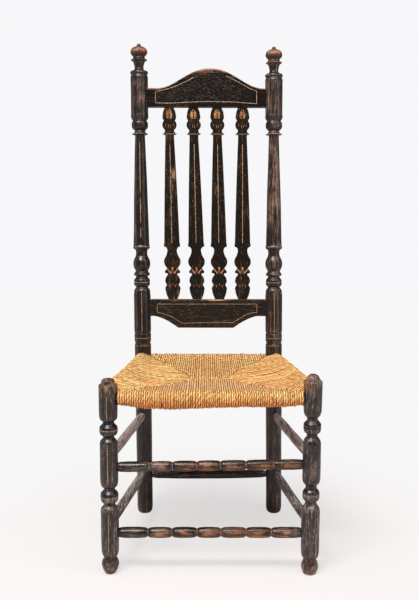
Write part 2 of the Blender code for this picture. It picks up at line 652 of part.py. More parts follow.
def make_back_rails(frame, posts, mortises, finish, peg_finish):
    """The crest rail and the stay rail, coped to the posts, with their tenons and pegs."""
    crest_top = CREST_RAIL_FOOT + CREST_END_HEIGHT
    stay_foot = STAY_RAIL_TOP - STAY_END_HEIGHT
    radius = POST_WIDTH / 2 + CLEARANCE
    span = [Vector((radius, STAY_BLOCK_FOOT)), Vector((radius, CREST_BLOCK_TOP))]
    copes = []
    for side in (LEFT, RIGHT):
        axis = Matrix.Translation((post_x(side, 0), 0, 0)) @ LEAN
        copes.append(moved(turned_solid(span, POST_SIDES), axis))
    cope_cutter = as_cutter(solid("post_cope_cutter", group(copes)))
    peg_cutter = as_cutter(solid("peg_hole_cutter", group(peg_solids(CLEARANCE).values())))
    pegs = [solid(name, shape, peg_finish, smooth=True) for name, shape in peg_solids(0).items()]
    rails = {
        "crest_rail": (CREST_RAIL_FOOT, crest_top, crest_outline(), CREST_PEAK_SHIFT),
        "stay_rail": (stay_foot, STAY_RAIL_TOP, stay_outline(), STAY_DROP_SHIFT)}
    for name, (foot, head, edge, shift) in rails.items():
        middle = (foot + head) / 2
        centre = (post_x(LEFT, middle) + post_x(RIGHT, middle)) / 2 + shift
        shaped = [Vector((point.x + centre, point.y)) for point in edge]
        left = post_x(LEFT, middle)
        right = post_x(RIGHT, middle)
        if name == "crest_rail":
            shaped = [Vector((left, foot)), Vector((right, foot)), Vector((right, head))] + shaped[::-1]
            shaped.append(Vector((left, head)))
        else:
            shaped = [Vector((left, foot))] + shaped + [Vector((right, foot)), Vector((right, head))]
            shaped.append(Vector((left, head)))
        rail = solid(name, sawn_board(shaped, BACK_RAIL_THICKNESS), finish)
        tenons = as_cutter(solid(name + "_tenons", rail_tenons(foot, head, 0)))
        mortise = as_cutter(solid(name + "_mortise_cutter", rail_tenons(foot, head, CLEARANCE)))
        combine(rail, cope_cutter, "DIFFERENCE")
        combine(rail, tenons, "UNION")
        combine(rail, mortises, "DIFFERENCE")
        combine(rail, peg_cutter, "DIFFERENCE")
        for post in posts.values():
            combine(post, mortise, "DIFFERENCE")
        for piece in (rail, tenons, mortise):
            piece.parent = frame
    for post in posts.values():
        combine(post, peg_cutter, "DIFFERENCE")
    for piece in (cope_cutter, peg_cutter, *pegs):
        piece.parent = frame


# Banisters


def banister_place(number):
    """The matrix in the back's frame that stands a banister on its centre line."""
    left = post_x(LEFT, STAY_RAIL_TOP)
    foot_x = left + POST_SPACING * BANISTER_FOOT_PLACE_SHARES[number]
    left = post_x(LEFT, CREST_RAIL_FOOT)
    head_x = left + POST_SPACING * BANISTER_HEAD_PLACE_SHARES[number]
    tilt = math.atan2(head_x - foot_x, CREST_RAIL_FOOT - STAY_RAIL_TOP)
    face = BANISTER_SETBACK - BACK_RAIL_THICKNESS / 2
    return Matrix.Translation((foot_x, face, STAY_RAIL_TOP)) @ Matrix.Rotation(tilt, 4, "Y")


def banister_tenon(foot, head, grow):
    """One half-round tenon, or its mortise when grown, standing on the banister's flat."""
    radius = BANISTER_TENON_WIDTH / 2 + grow
    outline = [Vector((radius, foot)), Vector((radius, head))]
    return moved(turned_solid(outline, BANISTER_SIDES, HALF_TURN), Matrix.Translation((0, -grow, 0)))


def make_banister_mortises(frame):
    """The cutter for all the banisters' mortises in both rails."""
    height = CREST_RAIL_FOOT - STAY_RAIL_TOP
    holes = []
    for number in range(len(BANISTER_FOOT_PLACE_SHARES)):
        for foot, head in ((-BANISTER_TENON_LENGTH - CLEARANCE, OVERRUN),
                           (height - OVERRUN, height + BANISTER_TENON_LENGTH + CLEARANCE)):
            holes.append(moved(banister_tenon(foot, head, CLEARANCE), banister_place(number)))
    cutter = as_cutter(solid("banister_mortise_cutter", group(holes)))
    cutter.parent = frame
    return cutter


def make_banisters(frame, finish):
    """Four split turnings with the posts' pattern, tenoned into the crest and stay rails."""
    height = CREST_RAIL_FOOT - STAY_RAIL_TOP
    radius = BANISTER_TENON_WIDTH / 2
    outline = joined_outline([
        [Vector((radius, -BANISTER_TENON_LENGTH)), Vector((radius, CLEARANCE))],
        turning(CLEARANCE, COLUMN_FOOT - STAY_RAIL_TOP, BANISTER_WIDTH, BANISTER_FOOT_SHARES),
        turning(COLUMN_TOP - STAY_RAIL_TOP, height - CLEARANCE, BANISTER_WIDTH, BANISTER_HEAD_SHARES),
        [Vector((radius, height - CLEARANCE)), Vector((radius, height + BANISTER_TENON_LENGTH))]])
    for number in range(len(BANISTER_FOOT_PLACE_SHARES)):
        shape = turned_solid(outline, BANISTER_SIDES, HALF_TURN)
        banister = solid("banister_" + str(number + 1), shape, finish, smooth=True)
        banister.parent = frame
        banister.matrix_local = banister_place(number)


# Rush seat and its stuffing


def seat_corners():
    """The axes of the legs and posts at the seat, in plan."""
    return {
        (0, 0): leg_point(LEFT, FRONT_RAIL_HEIGHT), (1, 0): leg_point(RIGHT, FRONT_RAIL_HEIGHT),
        (0, 1): post_point(LEFT, REAR_RAIL_HEIGHT), (1, 1): post_point(RIGHT, REAR_RAIL_HEIGHT)}


def in_plan(across, back):
    """The point at shares across and back between the four corner axes, as (x, y)."""
    corners = seat_corners()
    front = corners[0, 0].lerp(corners[1, 0], across)
    rear = corners[0, 1].lerp(corners[1, 1], across)
    return front.lerp(rear, back).xy


def weave_height(across, back):
    """The middle height of the weave: each rail pulls it to its own height, the nearest most."""
    width = LEG_SPACING + (POST_SPACING - LEG_SPACING) * back
    pulls = (
        (back * SEAT_DEPTH, FRONT_RAIL_HEIGHT), ((1 - back) * SEAT_DEPTH, REAR_RAIL_HEIGHT),
        (across * width, SIDE_RAIL_HEIGHT), ((1 - across) * width, SIDE_RAIL_HEIGHT))
    total = 1 / SAG_SPREAD ** 2
    height = (FRONT_RAIL_HEIGHT - SEAT_SAG) * total
    for distance, rail_height in pulls:
        pull = 1 / (max(distance, 0) + ROLL_RADIUS / 4) ** 2
        total += pull
        height += pull * rail_height
    return height / total


def grid_lines(span):
    """Lines over a span between two rail axes: (share, radii outside the near rail, its side)."""
    lines = []
    for out in ROLL_LINE_SHARES:
        lines.append((max(-out, 0) * ROLL_RADIUS / span, max(out, 0), LEFT))
    for share in MIDDLE_LINE_SHARES:
        lines.append((share, 0, LEFT))
    for out in reversed(ROLL_LINE_SHARES):
        lines.append((1 - max(-out, 0) * ROLL_RADIUS / span, max(out, 0), RIGHT))
    return lines


def roll_fullness(share, span):
    """1 over a rail, easing to the middle's thickness inside the seat."""
    middle = RUSH_MIDDLE_THICKNESS / 2 / ROLL_RADIUS
    inside = min(share, 1 - share) * span / (ROLL_FALL_SHARE * ROLL_RADIUS)
    ease = (1 + math.cos(math.pi * min(inside, 1))) / 2
    return middle + (1 - middle) * ease


def pillow(tops, undersides):
    """A closed pillow from two grids of points, whose rims meet or get walls between them."""
    shape = bmesh.new()
    sides = []
    for grid in (tops, undersides):
        corners = [[shape.verts.new(point) for point in line] for line in grid]
        for line, after in zip(corners, corners[1:]):
            for a, b, c, d in zip(line, line[1:], after[1:], after):
                shape.faces.new((a, b, c))
                shape.faces.new((a, c, d))
        rim = corners[0] + [line[-1] for line in corners[1:-1]] + corners[-1][::-1]
        rim += [line[0] for line in corners[-2:0:-1]]
        sides.append(rim)
    for top, after_top, low, after_low in zip(
            sides[0], sides[0][1:] + sides[0][:1], sides[1], sides[1][1:] + sides[1][:1]):
        shape.faces.new((top, after_top, after_low, low))
    bmesh.ops.remove_doubles(shape, verts=shape.verts, dist=WELD)
    return shape


def rush_shape():
    """The rush seat's outside: a roll round each rail, and a thinner, sagging middle."""
    across_lines = grid_lines(LEG_SPACING)
    back_lines = grid_lines(SEAT_DEPTH)
    tops = []
    undersides = []
    for back, out_y, side_y in back_lines:
        tops.append([])
        undersides.append([])
        for across, out_x, side_x in across_lines:
            x, y = in_plan(across, back)
            round_x = out_x * math.sqrt(1 - out_y ** 2 / 2)
            round_y = out_y * math.sqrt(1 - out_x ** 2 / 2)
            x += side_x * round_x * ROLL_RADIUS
            y += side_y * round_y * ROLL_RADIUS
            fullness = max(roll_fullness(across, LEG_SPACING), roll_fullness(back, SEAT_DEPTH))
            edge = math.sqrt(max(1 - round_x ** 2 - round_y ** 2, 0))
            half = ROLL_RADIUS * fullness * edge
            height = weave_height(across, back)
            tops[-1].append((x, y, height + half))
            undersides[-1].append((x, y, height - half))
    return pillow(tops, undersides)


def pad_lines(span, edge):
    """The pad's lines over a span between two rail axes, with one more line at the edge inset."""
    inset = (SEAT_RAIL_WIDTH / 2 + 2 * CLEARANCE) / span
    lines = [inset + (1 - 2 * inset) * share for share in PAD_LINE_SHARES]
    if edge:
        lines = [edge / span] + lines + [1 - edge / span]
    return lines


def pad_shape(half_thickness, edge=0):
    """A pad inside the rails, or its pocket, which has the pad's lines and one outside them."""
    tops = []
    undersides = []
    for back in pad_lines(SEAT_DEPTH, edge):
        tops.append([])
        undersides.append([])
        width = LEG_SPACING + (POST_SPACING - LEG_SPACING) * back
        for across in pad_lines(width, edge):
            x, y = in_plan(across, back)
            height = weave_height(across, back)
            tops[-1].append((x, y, height + half_thickness))
            undersides[-1].append((x, y, height - half_thickness))
    return pillow(tops, undersides)


def make_seat(rail_cutters, rush_finish, pad_finish):
    """The rush seat with its bores and pocket, and the stuffing pad in the pocket."""
    holes = []
    low = FRONT_RAIL_HEIGHT - ROLL_RADIUS - OVERRUN
    high = SIDE_RAIL_HEIGHT + ROLL_RADIUS + OVERRUN
    for side in (LEFT, RIGHT):
        leg_radius = LEG_HEAD_WIDTH / 2 + CLEARANCE
        leg_hole = turned_solid([Vector((leg_radius, low)), Vector((leg_radius, high))], POST_SIDES)
        holes.append(moved(leg_hole, Matrix.Translation(leg_point(side, 0))))
        post_radius = POST_WIDTH / 2 + CLEARANCE
        post_hole = turned_solid([Vector((post_radius, low)), Vector((post_radius, high))], POST_SIDES)
        axis = BACK_FRAME @ Matrix.Translation((post_x(side, 0), 0, 0)) @ LEAN
        holes.append(moved(post_hole, axis))
    corner_cutter = as_cutter(solid("seat_corner_cutter", group(holes)))
    half = RUSH_MIDDLE_THICKNESS / 2 - RUSH_SKIN
    pocket = as_cutter(solid("stuffing_pocket_cutter", pad_shape(half + CLEARANCE, SEAT_RAIL_WIDTH / 4)))
    seat = solid("rush_seat", rush_shape(), rush_finish, smooth=True)
    pad = solid("seat_stuffing", pad_shape(half), pad_finish)
    for cutter in (corner_cutter, pocket, *rail_cutters):
        combine(seat, cutter, "DIFFERENCE")
    combine(pad, corner_cutter, "DIFFERENCE")


def make_chair():
    """Build every piece of the chair."""
    clear_scene()
    black = material("black_painted_hardwood", BLACK_PAINT, 0.45)
    worn = material("worn_black_paint", WORN_PAINT, 0.55)
    bare = material("bare_hardwood", BARE_HARDWOOD, 0.65)
    rush = material("twisted_rush", RUSH, 0.75)
    scraps = material("rush_stuffing", STUFFING, 0.85)
    frame = make_back_frame()
    legs = make_front_legs(worn)
    posts = make_rear_posts(frame, black)
    make_stretchers(legs, posts, worn)
    rail_cutters = make_seat_rails(legs, posts, bare)
    mortises = make_banister_mortises(frame)
    make_back_rails(frame, posts, mortises, black, bare)
    make_banisters(frame, black)
    make_seat(rail_cutters, rush, scraps)


make_chair()
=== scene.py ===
"""Looks of a banister-back side chair with a rush seat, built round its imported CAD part.

Metres, +Z up, the chair faces -Y. The sections follow the chair as it is put together.
"""
import json
import math

import bpy
import numpy as np
from mathutils import Matrix, Vector


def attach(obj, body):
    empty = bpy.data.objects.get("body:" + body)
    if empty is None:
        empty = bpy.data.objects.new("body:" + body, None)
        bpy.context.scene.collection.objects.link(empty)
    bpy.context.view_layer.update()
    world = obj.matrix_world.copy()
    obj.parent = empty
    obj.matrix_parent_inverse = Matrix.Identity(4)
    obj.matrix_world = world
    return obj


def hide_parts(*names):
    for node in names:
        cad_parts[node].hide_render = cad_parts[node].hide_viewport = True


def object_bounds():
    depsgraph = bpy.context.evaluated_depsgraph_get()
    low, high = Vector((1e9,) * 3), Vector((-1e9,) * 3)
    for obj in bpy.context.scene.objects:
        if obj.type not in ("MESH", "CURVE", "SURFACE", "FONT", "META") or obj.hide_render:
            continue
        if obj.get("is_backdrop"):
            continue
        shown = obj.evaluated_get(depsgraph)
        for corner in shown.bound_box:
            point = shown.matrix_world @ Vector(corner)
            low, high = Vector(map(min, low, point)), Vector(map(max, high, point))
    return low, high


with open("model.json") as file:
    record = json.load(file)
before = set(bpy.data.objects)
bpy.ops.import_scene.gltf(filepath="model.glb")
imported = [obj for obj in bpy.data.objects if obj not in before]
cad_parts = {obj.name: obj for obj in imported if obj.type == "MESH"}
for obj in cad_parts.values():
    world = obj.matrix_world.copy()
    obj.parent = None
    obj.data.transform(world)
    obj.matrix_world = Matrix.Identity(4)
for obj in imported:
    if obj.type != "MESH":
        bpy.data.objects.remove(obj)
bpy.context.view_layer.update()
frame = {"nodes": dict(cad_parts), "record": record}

# Front legs
# Each is one length of hardwood turned from a ball foot to a domed cap and painted black. The
# old paint is thin: brown shows in streaks along the grain, and bare ochre where it was rubbed.
MM = 0.001
FEET = {mount["name"]: np.array(mount["pos_m"]) for mount in frame["record"]["mounts"]}
LEG_SIDES = 64
BLACK_PAINT = "#110d0d"
SMOKED_PAINT = "#2b2320"
BROWN_WOOD = "#4a382e"
RUBBED_WOOD = "#8c7562"
GREY_SCRATCHES = "#8e8479"
OCHRE_TINT = "#ffc286"
GILT = "#ab8458"
UPRIGHT_GRAIN = (1.0, 1.0, 0.09)


def linear(code):
    """An sRGB hex colour as linear RGBA: each channel is undone by the sRGB curve."""
    srgb = np.array([int(code[k:k + 2], 16) for k in (1, 3, 5)]) / 255
    flat = np.where(srgb <= 0.04045, srgb / 12.92, ((srgb + 0.055) / 1.055) ** 2.4)
    return (*flat.tolist(), 1.0)


def feed(made, inputs):
    """Gives each input of a node a value, or the output that feeds it."""
    for key, value in inputs.items():
        if isinstance(value, bpy.types.NodeSocket):
            made.id_data.links.new(value, made.inputs[key])
        else:
            made.inputs[key].default_value = value
    return made


def node(tree, kind, inputs, **settings):
    """Adds one node with its settings and its inputs."""
    made = tree.nodes.new(kind)
    for key, value in settings.items():
        setattr(made, key, value)
    return feed(made, inputs)


def maths(tree, operation, *values):
    """One sum. MULTIPLY_ADD is the first value times the second plus the third."""
    return node(tree, "ShaderNodeMath", dict(enumerate(values)), operation=operation).outputs[0]


def noise(tree, place, scale, detail, roughness=0.5):
    """Cloudy noise from 0 to 1, in patches of 1 / scale metres."""
    return node(tree, "ShaderNodeTexNoise", {"Vector": place, "Scale": scale, "Detail": detail,
                                             "Roughness": roughness}).outputs["Fac"]


def mark(tree, name):
    """The number under this name that a piece carries at each point, and 0 where it has none."""
    return node(tree, "ShaderNodeAttribute", {}, attribute_name=name).outputs["Fac"]


def ramp(tree, amount, low, high, first=0.0, last=1.0, kind="SMOOTHSTEP"):
    """A number that goes from first to last while the amount goes from low to high."""
    return node(tree, "ShaderNodeMapRange", {0: amount, 1: low, 2: high, 3: first, 4: last},
                interpolation_type=kind).outputs[0]


def cover(tree, share, under, code, blend="MIX"):
    """The colour under with a share of a second colour, a hex code, laid over it."""
    return node(tree, "ShaderNodeMix", {0: share, 6: under, 7: linear(code)}, data_type="RGBA",
                blend_type=blend).outputs[2]


def bump(tree, strength, distance, height):
    """A shading normal that shows the height as relief, `distance` metres from 0 to 1."""
    return node(tree, "ShaderNodeBump", {"Strength": strength, "Distance": distance,
                                         "Height": height}).outputs["Normal"]


def surface(name):
    """A new material, its node tree and shader, and the output for a place on the object."""
    finish = bpy.data.materials.new(name)
    finish.use_nodes = True
    tree = finish.node_tree
    place = node(tree, "ShaderNodeTexCoord", {}).outputs["Object"]
    return finish, tree, tree.nodes["Principled BSDF"], place


def painted_wood(name, grain, rubbed=RUBBED_WOOD, brown=BROWN_WOOD, smoked=SMOKED_PAINT, black=BLACK_PAINT,
                 scratched=0.0, scratches=0.5, fineness=470, gloss=(0.25, 0.46)):
    """Old black paint on hardwood, satin and hard, that the grain has come through.

    How far it is worn is the piece's own wear, plus streaks 4 mm wide drawn out along the
    grain, patches of 35 mm, and dashes 1 / fineness of a metre wide that are drawn out less.
    More wear goes from black through smoked black and brown to rubbed wood, and from the first
    gloss to the second. Grey scratches lie where the dashes are highest, less so where the
    piece is plain. Warmth tints it ochre. Gilding lies over all of it and is lost where the
    dashes are high.
    """
    finish, tree, shader, place = surface(name)
    drawn = node(tree, "ShaderNodeMapping", {"Vector": place, "Scale": grain}).outputs["Vector"]
    shorter = [share ** 0.67 for share in grain]
    dashed = node(tree, "ShaderNodeMapping", {"Vector": place, "Scale": shorter}).outputs["Vector"]
    streaks = noise(tree, drawn, 250, 5, 0.7)
    patches = noise(tree, place, 29, 4, 0.6)
    dashes = noise(tree, dashed, fineness, 3, 0.7)
    worn = mark(tree, "wear")
    for pattern, weight in ((streaks, 1.8), (patches, 0.8), (dashes, 1.1)):
        worn = maths(tree, "MULTIPLY_ADD", pattern, weight, worn)
    colour = linear(black)
    for code, low, high in ((smoked, 1.76, 1.92), (brown, 1.96, 2.08), (rubbed, 2.12, 2.32)):
        colour = cover(tree, ramp(tree, worn, low, high), colour, code)
    scratch = ramp(tree, dashes, 0.66 - scratched, 0.74 - scratched, 0.0, scratches, "LINEAR")
    plain = maths(tree, "SUBTRACT", 1.0, mark(tree, "plain"))
    colour = cover(tree, maths(tree, "MULTIPLY", scratch, plain), colour, GREY_SCRATCHES)
    colour = cover(tree, mark(tree, "warmth"), colour, OCHRE_TINT, "MULTIPLY")
    kept = maths(tree, "MULTIPLY", mark(tree, "gilding"), ramp(tree, dashes, 0.60, 0.46))
    colour = cover(tree, kept, colour, GILT)
    relief = maths(tree, "MULTIPLY_ADD", dashes, 0.5, streaks)
    feed(shader, {"Base Color": colour, "Roughness": ramp(tree, worn, 1.6, 2.4, *gloss, "LINEAR"),
                  "Normal": bump(tree, 0.5, 0.0006, relief), "IOR": 1.45})
    return finish


def outline(rows, ease=0.4, lines=()):
    """A turner's outline as points (radius, height) in metres, from rows (height, width, bow) in mm.

    From each row to the next it is a circle's arc that rises by bow times its chord, or a
    straight line where the row has no bow. The line is read off every 0.25 mm, and its corners
    are eased by a Gaussian mean of width `ease`. It keeps one point for each 10 degrees that it
    turns or 9 mm that it runs, and one each 0.35 mm beside the heights in `lines`, where paint
    is to have an edge.
    """
    read = 0.25
    up, across, bow = np.array([(*row, 0)[:3] for row in rows], float).T
    knots = np.stack([across / 2, up], axis=1)
    line = [knots[:1]]
    for start, end, rise in zip(knots[:-1], knots[1:], bow[:-1]):
        chord = end - start
        share = np.linspace(0, 1, max(int(np.hypot(*chord) / read), 2))[1:, None]
        half = 2 * math.atan(2 * (rise or 1e-6))
        turn = half * (2 * share - 1)
        along = 0.5 + np.sin(turn) / (2 * math.sin(half))
        lift = (np.cos(turn) - math.cos(half)) / (2 * math.sin(half))
        line.append(start + along * chord + lift * np.array([chord[1], -chord[0]]))
    line = np.concatenate(line)
    run = np.concatenate([[0], np.cumsum(np.hypot(*np.diff(line, axis=0).T))])
    even = np.linspace(0, run[-1], int(run[-1] / read))
    line = np.stack([np.interp(even, run, line[:, k]) for k in (0, 1)], axis=1)
    weights = np.exp(-(np.arange(-8, 9) * read / ease) ** 2 / 2)
    weights = weights / weights.sum()
    padded = np.pad(line, ((8, 8), (0, 0)), mode="reflect", reflect_type="odd")
    line = np.stack([np.convolve(padded[:, k], weights, mode="valid") for k in (0, 1)], axis=1)
    step = np.diff(line, axis=0)
    heading = np.unwrap(np.arctan2(step[:, 1], step[:, 0]))
    turning = np.abs(np.diff(heading, prepend=heading[0]))
    length = np.hypot(*step.T)
    wanted = length / 9 + turning / math.radians(10)
    for height in lines:
        wanted = wanted + length / 0.35 * (np.abs(line[1:, 1] - height) < 1.6)
    total = np.concatenate([[0], np.cumsum(wanted)])
    at = np.linspace(0, total[-1], int(total[-1]) + 2)
    return np.stack([np.interp(at, total, line[:, k]) for k in (0, 1)], axis=1) * MM


def turned(line, sides, seed, wander=0.10):
    """Rings about the z axis: x and y are the radius times the turn's cosine and sine.

    The radius wanders by about `wander` mm, the sum of six slow waves in turn and height.
    """
    turn = np.linspace(0, 2 * np.pi, sides, endpoint=False)[None, :]
    radius, height = line[:, :1], line[:, 1:]
    draw = np.random.default_rng(seed)
    wave = sum(draw.normal() * np.cos(lobes * turn + height / draw.uniform(0.008, 0.05)
                                      + draw.uniform(0, 6)) for lobes in (1, 2, 2, 3, 4, 5))
    radius = radius + wander * MM * wave / 2 * np.minimum(radius / 0.012, 1)
    return np.stack([radius * np.cos(turn), radius * np.sin(turn), height + 0 * turn], axis=-1)


def slope(value, start, end):
    """0 before start, 1 after end, and even between them. The end may be the lower one."""
    return np.clip((value - start) / (end - start), 0, 1)


def hump(value, middle, spread, power=2):
    """1 at the middle, falling off as exp(-(distance / spread) ** power)."""
    return np.exp(-((value - middle) / spread) ** power)


def bands(height, places, half, strength=1.0):
    """The strength within `half` of each place along a piece, in mm, with a soft edge of 0.3 mm.

    The strength is one number for all places, or one for each.
    """
    near = np.abs(height[None] - np.reshape(places, (-1, 1, 1)))
    return np.max(slope(near, half + 0.15, half - 0.15) * np.reshape(strength, (-1, 1, 1)), axis=0)


def shown(name, data):
    """A new object in the scene that holds a mesh, a lamp or a camera."""
    made = bpy.data.objects.new(name, data)
    bpy.context.scene.collection.objects.link(made)
    return made


def skin(name, parts, finish, slot, stands_for=(), **marks):
    """One piece from closed tubes of rings, each an array (ring, point, xyz).

    A point is joined to the next in its ring and to the same one in the next ring, and both
    end rings are closed. A tube whose enclosed volume comes out negative is turned over.
    Marks are numbers for each point, such as wear, kept as attributes that the finish reads.
    """
    points, faces = [], []
    first = 0
    for rings in parts:
        rows, around = rings.shape[:2]
        index = np.arange(rows * around).reshape(rows, around)
        after = np.roll(index, -1, axis=1)
        quads = np.stack([index[:-1], after[:-1], after[1:], index[1:]], axis=-1).reshape(-1, 4)
        flat = rings.reshape(-1, 3)
        a, b, c, d = (flat[quads[:, k]] - flat.mean(axis=0) for k in range(4))
        ends = [index[0][::-1], index[-1]]
        if np.sum(a * np.cross(b, c)) + np.sum(a * np.cross(c, d)) < 0:
            quads = quads[:, ::-1]
            ends = [end[::-1] for end in ends]
        faces += (quads + first).tolist() + [(end + first).tolist() for end in ends]
        points.append(flat)
        first += len(flat)
    mesh = bpy.data.meshes.new(name)
    mesh.from_pydata(np.concatenate(points).tolist(), [], faces)
    for key, value in marks.items():
        kind, part = ("FLOAT_VECTOR", "vector") if np.shape(value)[-1:] == (3,) else ("FLOAT", "value")
        values = np.full(first, value) if np.isscalar(value) else np.asarray(value)
        mesh.attributes.new(key, kind, "POINT").data.foreach_set(part, values.astype(np.float32).ravel())
    mesh.materials.append(finish)
    mesh.shade_smooth()
    mesh.set_sharp_from_angle(angle=math.radians(48))
    piece = shown(name, mesh)
    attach(piece, "root")
    if stands_for:
        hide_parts(*stands_for)
    return piece


# Each row is a height, a width, and how far the line up to the next row bows outwards, if it does.
LEG_ROWS = {
    "left": (
        (0, 17, 0.1), (2.4, 22.6, 0.05), (9, 29.6, 0.06), (18, 35.6, 0.08), (24.5, 36.6, 0.05), (30, 33.2),
        (34, 29.4, -0.08), (37.2, 27), (39.4, 28.6, 0.1), (44, 33.8, 0.05), (53, 36.9), (66, 37.7),
        (116, 38.2), (133, 38.2), (136.6, 39), (140, 38.2, 0.1), (145.8, 35.4, 0.04), (150.4, 28.2),
        (152.6, 24.2, -0.08), (154.4, 23.2), (156.2, 25), (158, 28.8, 0.12), (166, 36.8, 0.03), (173.4, 37.8),
        (174.8, 35.8), (176, 37.8, 0.1), (180.4, 33.8, 0.04), (184.2, 26.4, -0.05), (188, 22.8), (190, 24.2),
        (191.8, 28, 0.12), (200.4, 36.4, 0.04), (206, 37.8), (223, 38.2), (258, 37.8), (276, 38.1),
        (284, 37.9, 0.08), (290.6, 36.4, 0.06), (294.7, 31.2), (297.2, 26.8, -0.06), (300, 23.4), (302, 23.2),
        (303.6, 25.6), (305.4, 31, 0.12), (310, 37.2, 0.04), (317.8, 38.5), (319.3, 36.6), (320.6, 38.2, 0.1),
        (325, 33.4), (328.6, 26.2, -0.04), (331, 24.2), (333.6, 23.4), (335.2, 25.4), (336.4, 28.6, 0.12),
        (342.4, 37, 0.04), (347, 38.4), (357, 39), (387, 39.2), (409.4, 39.2, 0.1), (412.8, 37), (414.4, 31),
        (415.2, 28.8, 0.03), (420.8, 27, 0.16), (424.8, 16.6, 0.08), (426.2, 0.4)),
    "right": (
        (0, 26.4, 0.12), (4.7, 30.6, 0.05), (11.5, 35.4, 0.06), (17, 36.2, 0.05), (22.8, 34.4),
        (28, 30.6, -0.05), (32, 27.2), (34, 27.8), (35.6, 30.2, 0.12), (42, 35.8, 0.06), (50, 38), (58, 38.9),
        (80, 39), (134, 39.1, 0.08), (141.7, 37.8, 0.08), (148.3, 34, 0.04), (152.6, 27.6), (156, 24.6, -0.03),
        (159.2, 23.6), (161.4, 25), (162.6, 27.8, 0.12), (168.2, 35.2, 0.03), (175, 36.3), (180.4, 36),
        (181.6, 34.2), (182.6, 34.4, 0.05), (185.9, 29.6), (188.6, 25.4, -0.05), (192, 23.8), (195.4, 24),
        (197.4, 25.6), (199, 28.8, 0.1), (205.7, 36.6, 0.04), (214.5, 38.1), (232, 38.3), (258, 37.9),
        (280, 37.9), (286, 37.7, 0.06), (291, 36.4, 0.08), (296.4, 32, 0.05), (300.2, 26, -0.05), (304, 22.6),
        (306.6, 22.2), (308.6, 24.4), (310.2, 27.8, 0.12), (315, 36, 0.03), (322.6, 37.2), (323.6, 35.8),
        (324.6, 37.3, 0.08), (329, 36.4, 0.08), (333, 31, 0.03), (336.3, 25, -0.06), (339, 22.8),
        (341.6, 22.8), (343.8, 24.4), (345, 27, 0.1), (351.3, 34.6, 0.06), (359, 37.7), (380, 38.1),
        (400, 38.5), (409, 39), (416.2, 39.2, 0.12), (420.8, 37.2, 0.1), (423.6, 31.6), (425, 28.2, 0.05),
        (430, 23.8, 0.12), (433.6, 16.4, 0.1), (435.8, 6, 0.1), (436.3, 0.4))}
LEG_GROOVES = {"left": (174.8, 319.3), "right": (181.8, 323.6)}
LEG_GILT = {"left": (171.6, 317.2), "right": (176.8, 326.9)}
GILT_KEPT = {"left": 0.85, "right": (0.7, 0.2)}
upright_paint = painted_wood("black_paint_on_turned_hardwood", UPRIGHT_GRAIN, "#857971", brown="#493e39")
for seed, (side, rows) in enumerate(LEG_ROWS.items(), 11):
    rings = turned(outline(rows, lines=LEG_GROOVES[side] + LEG_GILT[side]), LEG_SIDES, seed)
    x, _, up = np.moveaxis(rings, -1, 0) / MM
    shoulder = rows[-1][0] - 17
    low, high = {"left": (0.12, -0.02), "right": (0.19, 0.03)}[side]
    wear = low + (high - low) * slope(up, 140, 320) + 0.08 * slope(up, 345, 365)
    wear = wear + 0.14 * slope(up, 26, 18) + 0.5 * slope(up, 4, 1)
    wear = wear + 0.08 * slope(up, shoulder - 10, shoulder - 2)
    for groove in LEG_GROOVES[side]:
        # Each bead is browner below its groove and black above it, and the groove itself is painted dark as
        # painted shade.
        wear = wear + 0.12 * hump(up, groove - 8, 6) - 0.30 * hump(up, groove + 6, 5)
        wear = wear - 0.6 * bands(up, (groove,), 0.9)
    ochre = slope(up, shoulder - 26, shoulder - 8) * (0.7 if side == "left" else slope(x, 15, -15))
    skin("front_leg_turning_" + side, [rings + FEET[side + "_front_foot"]], upright_paint, "worn_paint",
         ["front_leg_" + side], wear=wear + 0.20 * ochre,
         warmth=np.clip(0.45 * slope(up, 40, 32) + ochre, 0, 1),
         gilding=bands(up, LEG_GILT[side], 0.8, GILT_KEPT[side]))
